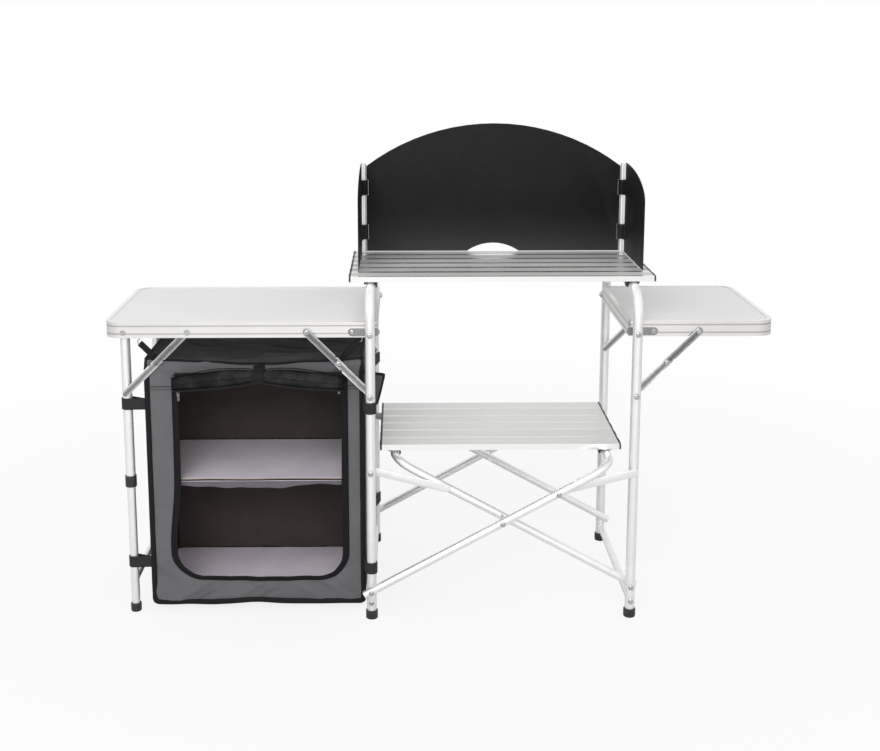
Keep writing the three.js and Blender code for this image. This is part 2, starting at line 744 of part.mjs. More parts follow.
// Outer legs: an upper tube on the table, a lower frame that slides into it

const collarBottom = collarTop - collarHeight;
for (const [place, side] of [['front', -1], ['rear', 1]]) {
  const y = side * outerLegOffset;
  const tube = cut(
    column(-outerLegReach, y, collarBottom + footWall, tableHinge + legTopCap, outerTube),
    column(-outerLegReach, y, collarBottom, collarTop + innerTubeInside + legSlide + cutOver, boreSize),
    pin(-outerLegReach, tableHinge - stayArm, y, side * (outerFace + cutOver), pivotHole),
  );
  const bolt = fuse(
    pin(-outerLegReach, tableHinge, y, side * (rimFace + gap + rivetHead), pinSize),
    pin(-outerLegReach, tableHinge, y, side * (rimFace - rimWall - gap), rivetSize),
    pin(-outerLegReach, tableHinge, side * (rimFace + gap), side * (rimFace + gap + rivetHead), rivetSize),
  );
  add(`outer_${place}_leg_upper`, fuse(tube, bolt), aluminium);
  const collar = cut(
    column(-outerLegReach, y, collarBottom, collarTop, collarSize),
    column(-outerLegReach, y, collarBottom + footWall - gap, collarTop + cutOver, around(outerTube)),
    column(-outerLegReach, y, collarBottom - cutOver, collarTop, boreSize),
  );
  add(`outer_${place}_leg_collar`, collar, plastic);
  add(`outer_${place}_foot`, foot(-outerLegReach, y, innerTube), plastic);
}
const lowerLegs = fuse(
  ...[-1, 1].map((side) => column(-outerLegReach, side * outerLegOffset, footSole,
    collarTop + innerTubeInside, innerTube)),
  pin(-outerLegReach, outerBarHeight, -outerLegOffset, outerLegOffset, outerBarTube, tubeSides),
);
add('outer_leg_lower_frame', lowerLegs, aluminium);

// Windshield: a centre panel between two posts that stand in the deck, and two wings

const shield = new THREE.Group();
shield.position.set(deckMiddle, postY, 0);
parts.add(shield);
const panelHalf = postX - postSize * half - gap;
const shieldBottom = deckHeight + shieldLift;
const postTop = deckHeight + postRise;
const wingFrontTop = deckHeight + wingFrontRise;
const wingRearTop = deckHeight + wingRearRise;
const clipHeights = [deckHeight + clipLowRise, deckHeight + clipHighRise];

// a circle's arc through two points at the same height and a crown between them
function crownArc(shape, halfWidth, baseZ, crownZ, steps) {
  const rise = crownZ - baseZ;
  const radius = (halfWidth * halfWidth + rise * rise) / (2 * rise);
  const spread = Math.asin(halfWidth / radius); // below zero, the arc runs from left to right
  for (let step = 0; step <= steps; step++) {
    const angle = spread * (1 - 2 * step / steps);
    shape.lineTo(radius * Math.sin(angle), crownZ - radius + radius * Math.cos(angle));
  }
}

function centrePanel() {
  const shape = new THREE.Shape();
  shape.moveTo(-panelHalf, shieldBottom);
  crownArc(shape, -notchWidth * half, shieldBottom, shieldBottom + notchRise, arcSteps * half);
  shape.lineTo(panelHalf, shieldBottom);
  crownArc(shape, panelHalf, deckHeight + shieldSideRise, deckHeight + shieldRise, arcSteps);
  const sheet = panelXZ(shape, -shieldThick * half, shieldThick * half);
  const room = clipSize * half + gap;
  const clipRooms = [-1, 1].flatMap((side) => clipHeights.map((z) => block(
    point(side * postX - room, -room, z - 2 * gap),
    point(side * postX + room, room, z + clipHeight + 2 * gap),
  )));
  return cut(sheet, ...clipRooms);
}

add('windshield_panel', centrePanel(), board, shield);
for (const [name, side] of [['left', -1], ['right', 1]]) {
  const post = column(side * postX, 0, deckBottom - gap - postSocketDepth + stripFlange + gap, postTop, postSize);
  add(`windshield_${name}_post`, post, aluminium, shield);
}

// a wing in the YZ plane about its post's axis, pointing to the front
function wing(side) {
  const shape = new THREE.Shape();
  shape.moveTo(wingStart, shieldBottom);
  shape.lineTo(wingLength, shieldBottom);
  shape.lineTo(wingLength, wingFrontTop);
  const turns = arcSteps * half;
  for (let step = 1; step <= turns; step++) {
    const angle = step / turns * Math.PI * half;
    shape.lineTo(wingStart + (wingLength - wingStart) * Math.cos(angle),
      wingFrontTop + (wingRearTop - wingFrontTop) * Math.sin(angle));
  }
  const leaf = new THREE.ExtrudeGeometry(shape, { depth: shieldThick, bevelEnabled: false });
  leaf.rotateX(Math.PI * half).rotateZ(-Math.PI * half);
  const sheet = toSolid(leaf).translate([side * wingOffset + shieldThick * half, 0, 0]);
  const clips = clipHeights.map((z) => cut(
    fuse(
      column(0, 0, z, z + clipHeight, clipSize),
      block(point(side * wingOffset - tabThick * half, -wingStart - tabReach, z),
        point(side * wingOffset + tabThick * half, 0, z + clipHeight)),
    ),
    column(0, 0, z - cutOver, z + clipHeight + cutOver, around(postSize)),
  ));
  return fuse(sheet, ...clips);
}

for (const [name, side] of [['left', -1], ['right', 1]]) {
  const leaf = add(`windshield_${name}_wing`, wing(side), board, shield);
  leaf.position.x = side * postX;
}

// Cupboard: sewn cloth with an open front, two boards and a rolled mesh door

const cupboardFront = rimFace - cupboardInset;
const cupboardBack = cupboardDepth - cupboardFront;
const cupboardLeft = outerLegReach - outerRadius - cupboardLegGap;
const cupboardX = -(cupboardLeft + cupboardRight) * half;
const cupboardWidth = cupboardLeft - cupboardRight;
const doorLeft = cupboardLeft - doorInsetLeft;
const doorRight = cupboardRight + doorInsetRight;

function doorOutline() {
  const left = -doorLeft;
  const right = -doorRight;
  const shape = new THREE.Shape();
  shape.absarc(left + doorCorner, doorBottom + doorCorner, doorCorner, Math.PI, Math.PI * 3 * half, false);
  shape.absarc(right - doorCorner, doorBottom + doorCorner, doorCorner, -Math.PI * half, 0, false);
  shape.absarc(right - doorTopCorner, doorTop - doorTopCorner, doorTopCorner, 0, Math.PI * half, false);
  shape.absarc(left + doorTopCorner, doorTop - doorTopCorner, doorTopCorner, Math.PI * half, Math.PI, false);
  return shape;
}

// a strap: a band round a leg and a strip back to the cupboard's corner
function strap(legX, legY, legSize, cornerX, cornerY, z) {
  const loop = column(legX, legY, z, z + strapHeight, around(legSize) + 2 * strapThick);
  const along = point(cornerX - legX, cornerY - legY, 0);
  const strip = new THREE.BoxGeometry(along.length() + strapThick, strapThick, strapHeight);
  strip.rotateZ(Math.atan2(along.y, along.x));
  strip.translate(legX + along.x * half, legY + along.y * half, z + strapHeight * half);
  const bore = column(legX, legY, z - cutOver, z + strapHeight + cutOver, around(legSize));
  return cut(fuse(loop, toSolid(strip)), bore);
}

// a box with a sagging top; inset is how far each face lies inside the cupboard's outside
function sackBox(inset) {
  const reach = cupboardWidth * half - inset;
  const shape = new THREE.Shape();
  shape.moveTo(-reach, cupboardBottom + inset);
  shape.lineTo(reach, cupboardBottom + inset);
  for (let step = 0; step <= sagSteps; step++) {
    const share = step / sagSteps;
    shape.lineTo(reach * (1 - 2 * share), cupboardTop - inset - roofSag * Math.sin(Math.PI * share));
  }
  return panelXZ(shape, -cupboardFront + inset, cupboardBack - inset).translate([cupboardX, 0, 0]);
}

function cupboardShell() {
  const door = panelXZ(doorOutline(), -cupboardFront - cutOver, -cupboardFront + clothThick + cutOver);
  const straps = [-1, 1].flatMap((side) => {
    const cornerY = side < 0 ? -cupboardFront + clothThick : cupboardBack - clothThick;
    return [strapHigh, strapLow].flatMap((z) => [
      strap(-outerLegReach, side * outerLegOffset, z === strapHigh ? outerTube : innerTube,
        -cupboardLeft, side < 0 ? -outerLegOffset : cornerY, z),
      strap(0, side * legOffset, legTube, -cupboardRight, cornerY, z),
    ]);
  });
  return fuse(cut(sackBox(0), sackBox(clothThick), door), ...straps);
}

// a shelf board in its cloth, with a hanging front edge
function shelfBoard(top, valance) {
  const side = clothThick + gap;
  const slab = block(
    point(-cupboardLeft + side, -cupboardFront + side, top - boardThick),
    point(-cupboardRight - side, cupboardBack - side, top),
  );
  if (!valance) return slab;
  const shape = new THREE.Shape();
  const reach = cupboardWidth * half - side;
  shape.moveTo(-reach, 0);
  for (let step = 0; step <= sagSteps; step++) {
    const share = step / sagSteps;
    shape.lineTo(-reach + 2 * reach * share, -valanceDrop - valanceSag * Math.sin(Math.PI * share));
  }
  shape.lineTo(reach, 0);
  const front = -cupboardFront + side;
  const hem = panelXZ(shape, front, front + valanceThick).translate([cupboardX, 0, top - gap]);
  return fuse(slab, hem);
}

// the mesh door rolled up in front of the opening's top edge, held by one tie in the middle;
// its lower corners are round, so the roll is thicker in the middle
function rolledDoor() {
  const reach = (doorLeft - doorRight) * half - gap;
  const shares = Array.from({ length: sagSteps + 1 }, (_, step) => step / sagSteps);
  const path = shares.map((share) => point(-reach + 2 * reach * share, 0, 0));
  const swell = (i) => rollEnd + (rollMiddle - rollEnd) * Math.sin(Math.PI * shares[i]);
  const roll = bentBar(path, point(0, 1, 0), rollMiddle, swell);
  const tie = new THREE.BoxGeometry(tieWidth, rollMiddle + 2 * tieThick, rollMiddle + 2 * tieThick);
  const depth = -cupboardFront - gap - tieThick - rollMiddle * half;
  return fuse(roll, toSolid(tie)).translate([-(doorLeft + doorRight) * half, depth, doorTop - rollDrop]);
}

add('cupboard_shell', cupboardShell(), greyCloth);
add('cupboard_upper_shelf', shelfBoard(upperShelf, true), lilacCloth);
add('cupboard_base_board', shelfBoard(cupboardBottom + clothThick + gap + boardThick, false), lilacCloth);
add('cupboard_rolled_door', rolledDoor(), mesh);

// The whole part stands with its origin under the middle of its width
parts.position.x = (leftReach - rightReach - legSpan) * half;

export default parts;
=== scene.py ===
"""Folding camping kitchen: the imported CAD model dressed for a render.

The frame, decks, tables and windshield are the CAD parts with finished surfaces. The cloth
cupboard that hangs between the left legs and the outer legs is made here, in place of its
plain CAD solids. Everything is in metres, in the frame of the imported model.
"""

import math

import bpy
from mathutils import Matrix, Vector, noise


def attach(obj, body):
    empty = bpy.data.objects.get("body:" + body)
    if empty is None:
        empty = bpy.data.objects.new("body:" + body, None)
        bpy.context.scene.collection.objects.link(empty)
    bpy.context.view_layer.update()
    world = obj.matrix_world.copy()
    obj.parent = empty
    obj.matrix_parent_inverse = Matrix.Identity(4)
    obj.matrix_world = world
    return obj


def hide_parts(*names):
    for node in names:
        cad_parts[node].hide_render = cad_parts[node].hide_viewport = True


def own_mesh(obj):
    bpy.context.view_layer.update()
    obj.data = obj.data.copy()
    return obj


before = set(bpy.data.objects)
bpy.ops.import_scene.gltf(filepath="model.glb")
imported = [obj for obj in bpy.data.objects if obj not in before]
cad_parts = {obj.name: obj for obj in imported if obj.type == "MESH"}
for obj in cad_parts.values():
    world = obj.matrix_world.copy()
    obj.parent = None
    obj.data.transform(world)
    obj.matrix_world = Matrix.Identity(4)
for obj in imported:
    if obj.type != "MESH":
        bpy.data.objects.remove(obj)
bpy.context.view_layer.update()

bl_info = {
    "name": "Camping Kitchen Dresser",
    "version": (1, 0, 0),
    "blender": (4, 5, 0),
    "location": "3D View > Sidebar > Kitchen",
    "description": "Finishes the metal, board and cloth of a folding camping kitchen",
    "category": "Object",
}

# The cupboard's outside, as its CAD shell
LEFT, RIGHT = -0.6545, -0.1715
FRONT, BACK = -0.188, 0.120
BOTTOM, TOP = 0.020, 0.600
MIDDLE = (LEFT + RIGHT) / 2
WIDTH, DEPTH, HEIGHT = RIGHT - LEFT, BACK - FRONT, TOP - BOTTOM
ROOF_SAG = 0.012
# The door opening in its front
DOOR_LEFT, DOOR_RIGHT = -0.5905, -0.2135
DOOR_LOW, DOOR_HIGH = 0.082, 0.565
DOOR_ROUND = 0.060
DOOR_CENTRE = Vector(((DOOR_LEFT + DOOR_RIGHT) / 2, (DOOR_LOW + DOOR_HIGH) / 2))
# Two sewn rows on the front beside the rolled door: height and width of the thread line
SEAM_ROWS = ((0.5335, 0.0022), (0.5270, 0.0010))
# The rolled door: depth and height of its axis, its core's radius, and the radius of one turn
# on its flat cut
ROLL_Y, ROLL_Z = -0.2103, DOOR_HIGH - 0.009
ROLL_CORE = 0.0016
ROLL_RADIUS = 0.016
# Each zip pull: side, x and z
ZIP_PULLS = (("left", -0.583, 0.516), ("right", -0.2265, 0.531))
# The boards inside, in their coated cloth
SHELF_TOP, BASE_TOP = 0.314, 0.0303
BOARD_FRONT = FRONT + 0.011
BOARD_GAP = 0.0042
BOARD_THICK = 0.006
BOARD_CORNER = 0.010
# The legs that the cupboard is strapped to: place in plan and tube radius, high and low
INNER_LEG = (-0.1545, 0.225, 0.011, 0.011)
OUTER_LEG = (-0.6975, 0.179, 0.011, 0.0095)
STRAP_LOW, STRAP_HIGH = 0.109, 0.482
# The straps under the table: name, the end in its hook and the end on the cupboard
TOP_STRAPS = (
    ("left_front", (-0.664, -0.1865, 0.634), (-0.630, FRONT + 0.003, 0.5965)),
    ("right_front", (-0.177, -0.1865, 0.638), (-0.219, FRONT + 0.003, 0.5955)),
    ("left_rear", (-0.664, 0.1175, 0.634), (-0.630, BACK - 0.003, 0.5965)),
    ("right_rear", (-0.177, 0.1175, 0.638), (-0.219, BACK - 0.003, 0.5955)),
)
# The bent wire of a hook, from the strap's end: outward, back and up
HOOK_WIRE = (
    (-0.002, 0.0, -0.004),
    (0.003, -0.001, -0.001),
    (0.004, -0.001, 0.006),
    (0.0, 0.0, 0.009),
    (0.002, 0.001, 0.014),
    (0.008, 0.001, 0.016),
    (0.010, 0.0, 0.010),
)
# The flap beside the right binding: width, height and the height of its foot
FLAP_WIDTH, FLAP_TALL, FLAP_FOOT = 0.042, 0.072, 0.495
# The decks: front edge of the first slat and width of each
DECK_EDGE, SLAT_PITCH = -0.171, 0.057
# The table rims: distance from the middle plane of hinge plates and rivet heads, and the
# heights of the two rolled grooves, where shade is painted along the rim
PLATE_FACE, HEAD_FACE = 0.2008, 0.2023
RIM_GROOVES = (0.67425, 0.65675)
# The windshield's painted bounce light from the deck: palest at its foot, and plain from some way up
BOUNCE_LIGHT_FROM, BOUNCE_LIGHT_TO = 0.778, 0.90
# How far a scissor tube rises over its run
SCISSOR_RISE, SCISSOR_RUN = 0.302, 0.53
# Rivets: body, then x, distance from the middle plane and z of each head's flat face, and how
# far its dome stands out. It is low where a stay folds over it or the photograph shows no dome
LEG_FACE, HINGE_FACE = 0.2383, 0.2032
LEFT_LEG, RIGHT_LEG = -0.1545, 0.4315
DOME, FLAT_DOME = 0.0019, 0.0003
PIVOT_Z, STAY_FOOT_Z, KNEE_Z = 0.660, 0.520, 0.590
RIVETS = {
    "left_frame": ((LEFT_LEG, LEG_FACE, 0.040, DOME),),
    "right_frame": ((RIGHT_LEG, LEG_FACE, 0.040, DOME),),
    "left_links": ((LEFT_LEG, LEG_FACE, 0.345, DOME),),
    "left_table": ((LEFT_LEG, LEG_FACE, PIVOT_Z, DOME), (-0.1945, HINGE_FACE, PIVOT_Z, DOME)),
    "right_table": ((RIGHT_LEG, LEG_FACE, PIVOT_Z, DOME),
                    (0.4715, HINGE_FACE, PIVOT_Z, FLAT_DOME)),
    "left_inner_stays_upper": ((-0.2945, 0.2066, PIVOT_Z, DOME),),
    "left_inner_stays_lower": ((LEFT_LEG, LEG_FACE, STAY_FOOT_Z, DOME),
                               (-0.2245, 0.2098, KNEE_Z, DOME)),
    "left_outer_stays_upper": ((-0.5575, 0.2015, PIVOT_Z, FLAT_DOME),),
    "right_stays_upper": ((0.5715, 0.2066, PIVOT_Z, FLAT_DOME),),
    "right_stays_lower": ((RIGHT_LEG, LEG_FACE, STAY_FOOT_Z, DOME),
                          (0.5015, 0.2098, KNEE_Z, DOME)),
    "outer_legs_upper": ((-0.6975, 0.2023, PIVOT_Z, FLAT_DOME),),
    "scissor_inner": ((RIGHT_LEG, LEG_FACE, 0.073, DOME),),
    "scissor_outer": ((LEFT_LEG, 0.2590, 0.073, DOME), (0.1385, 0.2590, 0.234, DOME),
                      (0.2621, 0.2590, 0.3019, DOME)),
}
# A rivet head's outline: radius, and share of the dome's rise
RIVET_PROFILE = ((0.0062, -0.2), (0.0062, 0.1), (0.0056, 0.42), (0.0042, 0.74), (0.0022, 0.95))
RIVET_SIDES = 20
# The lens shift, less than the photograph's own, so that the object stays in every other view
CAMERA_SHIFT = (0.0206, -0.12)
# The floor's radius, and the rings and sides of its mesh
FLOOR_REACH, FLOOR_RINGS, FLOOR_SIDES = 14.0, 24, 64


# Node materials


class Finish:
    """A material under construction, with short ways to add nodes and join them."""

    def __init__(self, name, **sockets):
        self.material = bpy.data.materials.new(name)
        self.material.use_nodes = True
        self.nodes = self.material.node_tree.nodes
        self.links = self.material.node_tree.links
        self.shader = self.nodes["Principled BSDF"]
        coordinates = self.nodes.new("ShaderNodeTexCoord")
        self.place = coordinates.outputs["Object"]
        self.cut = coordinates.outputs["UV"]
        for socket, value in sockets.items():
            self.shader.inputs[socket.replace("_", " ")].default_value = value

    def join(self, value, socket):
        if hasattr(value, "links"):
            self.links.new(value, socket)
        else:
            socket.default_value = value

    def scaled(self, scale, turn=(0, 0, 0), place=None):
        node = self.nodes.new("ShaderNodeMapping")
        node.inputs["Scale"].default_value = scale
        node.inputs["Rotation"].default_value = turn
        self.links.new(place or self.place, node.inputs["Vector"])
        return node.outputs["Vector"]

    def clouds(self, place, scale=1.0, detail=3.0, rough=0.55):
        node = self.nodes.new("ShaderNodeTexNoise")
        node.inputs["Scale"].default_value = scale
        node.inputs["Detail"].default_value = detail
        node.inputs["Roughness"].default_value = rough
        self.links.new(place, node.inputs["Vector"])
        return node.outputs["Fac"]

    def calc(self, kind, first, second=0.5, third=0.5):
        node = self.nodes.new("ShaderNodeMath")
        node.operation = kind
        for value, socket in zip((first, second, third), node.inputs):
            self.join(value, socket)
        return node.outputs[0]

    def axis(self, which, place=None):
        node = self.nodes.new("ShaderNodeSeparateXYZ")
        self.links.new(place or self.place, node.inputs[0])
        return node.outputs[which]

    def stretch(self, value, low, high, to_low=0.0, to_high=1.0):
        node = self.nodes.new("ShaderNodeMapRange")
        self.links.new(value, node.inputs["Value"])
        node.inputs["From Min"].default_value = low
        node.inputs["From Max"].default_value = high
        node.inputs["To Min"].default_value = to_low
        node.inputs["To Max"].default_value = to_high
        return node.outputs[0]

    def blend(self, share, first, second):
        node = self.nodes.new("ShaderNodeMix")
        node.data_type = "RGBA"
        self.join(share, node.inputs[0])
        self.join(first if hasattr(first, "links") else (*first, 1), node.inputs[6])
        self.join(second if hasattr(second, "links") else (*second, 1), node.inputs[7])
        return node.outputs[2]

    def cells(self, place):
        node = self.nodes.new("ShaderNodeTexVoronoi")
        node.inputs["Scale"].default_value = 1.0
        node.inputs["Randomness"].default_value = 0.0
        self.links.new(place, node.inputs["Vector"])
        return node.outputs["Distance"]

    def threads(self, pitch):
        """Over and under of threads that cross on the flat cut, from -1 to 1."""
        waves = [
            self.calc("SINE", self.calc("MULTIPLY", self.axis(which, self.cut), math.pi / pitch))
            for which in (0, 1)
        ]
        return self.calc("MULTIPLY", *waves)

    def colour(self, value):
        self.links.new(value, self.shader.inputs["Base Color"])

    def rough(self, value):
        self.links.new(value, self.shader.inputs["Roughness"])

    def metal(self, value):
        self.links.new(value, self.shader.inputs["Metallic"])

    def bump(self, height, depth, strength=1.0):
        node = self.nodes.new("ShaderNodeBump")
        node.inputs["Distance"].default_value = depth
        node.inputs["Strength"].default_value = strength
        self.links.new(height, node.inputs["Height"])
        self.links.new(node.outputs["Normal"], self.shader.inputs["Normal"])


def shade(colour, share):
    """A colour made lighter or darker by a share."""
    return tuple(min(1.0, part * share) for part in colour)


def drawn_tube(name, colour, along="z", turn=0.0, roughness=0.42):
    """Anodised tube: fine lines along the tube, a soft mottle and a few rub marks."""
    finish = Finish(name, Metallic=0.74)
    fine, slow = 1300.0, 9.0
    scale = {"x": (slow, fine, fine), "y": (fine, slow, fine), "z": (fine, fine, slow)}[along]
    lines = finish.clouds(finish.scaled(scale, (0, turn, 0)), 1.0, 2.0)
    mottle = finish.clouds(finish.place, 38.0, 4.0)
    rubs = finish.stretch(finish.clouds(finish.scaled((90, 90, 14)), 1.0, 5.0), 0.62, 0.72)
    tone = finish.calc("MULTIPLY_ADD", lines, 0.35, finish.calc("MULTIPLY", mottle, 0.65))
    finish.colour(finish.blend(finish.stretch(tone, 0.35, 0.65), shade(colour, 0.96), shade(colour, 1.03)))
    grain = finish.calc("MULTIPLY_ADD", lines, 0.06, roughness - 0.03)
    finish.rough(finish.calc("MULTIPLY_ADD", rubs, 0.08, grain))
    finish.bump(lines, 0.000006, 0.5)
    return finish.material


def brushed_slats(name, colour, glint_reach, metal):
    """Slats brushed along the deck: long fine lines, each slat its own tone, and a painted highlight along
    each seam, which is also smoother and more metallic.
    """
    finish = Finish(name, Anisotropic=0.4)
    lines = finish.clouds(finish.scaled((5, 1500, 1500)), 1.0, 3.0, 0.7)
    bands = finish.clouds(finish.scaled((0.8, 60, 60)), 1.0, 3.0)
    run = finish.calc("DIVIDE", finish.calc("SUBTRACT", finish.axis(1), DECK_EDGE), SLAT_PITCH)
    tint = finish.nodes.new("ShaderNodeTexWhiteNoise")
    tint.noise_dimensions = "1D"
    finish.links.new(finish.calc("FLOOR", run), tint.inputs["W"])
    tone = finish.calc("MULTIPLY_ADD", lines, 0.42, finish.calc("MULTIPLY", bands, 0.38))
    tone = finish.calc("MULTIPLY_ADD", tint.outputs["Value"], 0.20, tone)
    plain = finish.blend(finish.stretch(tone, 0.3, 0.7), shade(colour, 0.88), shade(colour, 1.05))
    # painted highlight: a near-white band along each seam, wider on the top deck
    near = finish.calc("ABSOLUTE", finish.calc("SUBTRACT", finish.calc("FRACT", run), 0.5))
    seam = finish.stretch(near, 0.5 - glint_reach / SLAT_PITCH, 0.5 - glint_reach * 0.6 / SLAT_PITCH)
    seam.node.interpolation_type = "SMOOTHSTEP"
    finish.colour(finish.blend(seam, plain, (0.98, 0.98, 0.97)))
    finish.metal(finish.calc("MULTIPLY_ADD", seam, 0.96 - metal, metal))
    polished = finish.calc("MULTIPLY", seam, -0.24)
    finish.rough(finish.calc("ADD", polished, finish.stretch(tone, 0.3, 0.7, 0.44, 0.54)))
    finish.bump(lines, 0.000012, 0.5)
    return finish.material


def zinc_plate(name, colour, roughness=0.36, line=None):
    """Zinc-plated steel: blotched tone and small scratches. A stay also has a pressed groove along
    its middle, painted as shade, and painted highlights on its edges; line gives a point of the groove and
    whether it falls (1) or rises (-1) to the right."""
    finish = Finish(name, Metallic=0.95)
    blotch = finish.clouds(finish.place, 120.0, 5.0, 0.6)
    scratch = finish.clouds(finish.scaled((1200, 1200, 60), (0, 0.7, 0)), 1.0, 2.0)
    tone = finish.calc("MULTIPLY_ADD", blotch, 0.7, finish.calc("MULTIPLY", scratch, 0.3))
    share = finish.stretch(tone, 0.35, 0.65)
    plain = finish.blend(share, shade(colour, 0.72), shade(colour, 1.22))
    if line:
        x, z, fall = line
        along = finish.calc("SUBTRACT", finish.axis(0), x)
        lean = finish.calc("MULTIPLY_ADD", finish.calc("SUBTRACT", finish.axis(2), z), fall, along)
        away = finish.calc("MULTIPLY", finish.calc("ABSOLUTE", lean), math.sqrt(0.5))
        # painted shade: a dark band along the middle of the pressed groove
        groove = finish.stretch(away, 0.0018, 0.0030, 0.75, 0.0)
        plain = finish.blend(groove, plain, shade(colour, 0.38))
        # painted highlight: the stay's edges, away from the groove, are made much lighter
        plain = finish.blend(finish.stretch(away, 0.0056, 0.0068), plain, shade(colour, 1.9))
    finish.colour(plain)
    finish.rough(finish.stretch(tone, 0.35, 0.65, roughness - 0.06, roughness + 0.08))
    finish.bump(tone, 0.00002, 0.5)
    return finish.material


def rolled_rim(name, colour, plate_colour):
    """Rolled rim of bright aluminium with painted shade in its grooves; outside it stand
    zinc-plated hinge plates, and outside those the bright heads of the rivets."""
    finish = Finish(name, Metallic=0.92)
    lines = finish.clouds(finish.scaled((7, 7, 1600)), 1.0, 2.0)
    slow = finish.clouds(finish.place, 14.0, 3.0)
    tone = finish.calc("MULTIPLY_ADD", lines, 0.4, finish.calc("MULTIPLY", slow, 0.6))
    bright = finish.blend(finish.stretch(tone, 0.35, 0.65), shade(colour, 0.96), shade(colour, 1.02))
    height = finish.axis(2)
    # painted shade: a darker band along each rolled groove
    for groove in RIM_GROOVES:
        away = finish.calc("ABSOLUTE", finish.calc("SUBTRACT", height, groove))
        bright = finish.blend(finish.stretch(away, 0.0012, 0.0021, 0.8, 0.0), bright, shade(colour, 0.52))
    blotch = finish.stretch(finish.clouds(finish.place, 150.0, 4.0), 0.35, 0.65)
    dull = finish.blend(blotch, shade(plate_colour, 0.88), shade(plate_colour, 1.1))
    side = finish.calc("ABSOLUTE", finish.axis(1))
    plate = finish.calc("GREATER_THAN", side, PLATE_FACE)
    head = finish.calc("GREATER_THAN", side, HEAD_FACE)
    finish.colour(finish.blend(head, finish.blend(plate, bright, dull), shade(colour, 1.1)))
    finish.rough(finish.stretch(tone, 0.35, 0.65, 0.28, 0.36))
    finish.bump(lines, 0.000006, 0.5)
    return finish.material


def laminate(name, colour):
    """Pale laminate: orange peel, a faint cloud of tone and tiny wipe marks."""
    finish = Finish(name, Specular_IOR_Level=0.45)
    cloud = finish.clouds(finish.place, 6.0, 4.0)
    speck = finish.clouds(finish.place, 900.0, 2.0)
    tone = finish.calc("MULTIPLY_ADD", cloud, 0.6, finish.calc("MULTIPLY", speck, 0.4))
    finish.colour(finish.blend(finish.stretch(tone, 0.3, 0.7), shade(colour, 0.965), shade(colour, 1.02)))
    wipes = finish.clouds(finish.scaled((12, 90, 90), (0, 0, 0.4)), 1.0, 3.0)
    finish.rough(finish.stretch(wipes, 0.3, 0.7, 0.30, 0.42))
    finish.bump(speck, 0.00008, 0.5)
    return finish.material


def moulded_plastic(name, colour):
    """Moulded black plastic: spark-eroded grain, lighter in worn patches."""
    finish = Finish(name, Specular_IOR_Level=0.5)
    grain = finish.clouds(finish.place, 1100.0, 3.0)
    wear = finish.stretch(finish.clouds(finish.place, 90.0, 5.0), 0.5, 0.75)
    finish.colour(finish.blend(wear, shade(colour, 0.85), shade(colour, 1.7)))
    finish.rough(finish.stretch(grain, 0.3, 0.7, 0.42, 0.60))
    finish.bump(grain, 0.0001, 0.7)
    return finish.material


def painted_board(name, colour):
    """Charcoal painted sheet: satin, with a fine leather-like grain, faint dust and painted bounce light
    that makes its foot paler.
    """
    finish = Finish(name, Specular_IOR_Level=0.13)
    grain = finish.clouds(finish.place, 700.0, 3.0)
    dust = finish.stretch(finish.clouds(finish.place, 22.0, 6.0), 0.45, 0.8)
    # painted light: the foot is made paler, standing in for light bounced up from the deck
    low = finish.stretch(finish.axis(2), BOUNCE_LIGHT_FROM, BOUNCE_LIGHT_TO, 1.0, 0.0)
    bounce_light = finish.calc("MULTIPLY", low, low)
    plain = finish.blend(dust, colour, shade(colour, 1.35))
    finish.colour(finish.blend(bounce_light, plain, shade(colour, 5.5)))
    finish.rough(finish.stretch(grain, 0.3, 0.7, 0.50, 0.62))
    finish.bump(grain, 0.00006, 0.6)
    return finish.material


def woven(name, colour, thread=0.0006, sheen=0.15, fade=0.16, roughness=0.78):
    """Plain-woven cloth on its flat cut: over and under of both threads, slubs, faded patches."""
    finish = Finish(name, Roughness=roughness, Sheen_Weight=sheen, Sheen_Roughness=0.5,
                    Specular_IOR_Level=0.3)
    weave = finish.calc("MULTIPLY_ADD", finish.threads(thread), 0.5, 0.5)
    slub = finish.clouds(finish.scaled((60, 900, 1), place=finish.cut), 1.0, 3.0)
    fading = finish.clouds(finish.place, 16.0, 5.0)
    tone = finish.calc("MULTIPLY_ADD", weave, 0.30, finish.calc("MULTIPLY", fading, 0.45))
    tone = finish.calc("MULTIPLY_ADD", slub, 0.25, tone)
    finish.colour(
        finish.blend(finish.stretch(tone, 0.3, 0.7), shade(colour, 1 - fade), shade(colour, 1 + fade))
    )
    finish.bump(tone, 0.00025, 0.6)
    return finish.material


def webbing(name, colour, rib=0.0016):
    """Narrow woven tape: ribs across it and a fuzz of fibres."""
    finish = Finish(name, Roughness=0.7, Sheen_Weight=0.03, Specular_IOR_Level=0.18)
    ribs = finish.calc("SINE", finish.calc("MULTIPLY", finish.axis(1, finish.cut), 2 * math.pi / rib))
    fuzz = finish.clouds(finish.place, 1400.0, 3.0)
    tone = finish.calc("MULTIPLY_ADD", ribs, 0.2, fuzz)
    finish.colour(finish.blend(finish.stretch(tone, 0.2, 0.8), shade(colour, 0.7), shade(colour, 1.5)))
    finish.bump(tone, 0.0003, 0.7)
    return finish.material


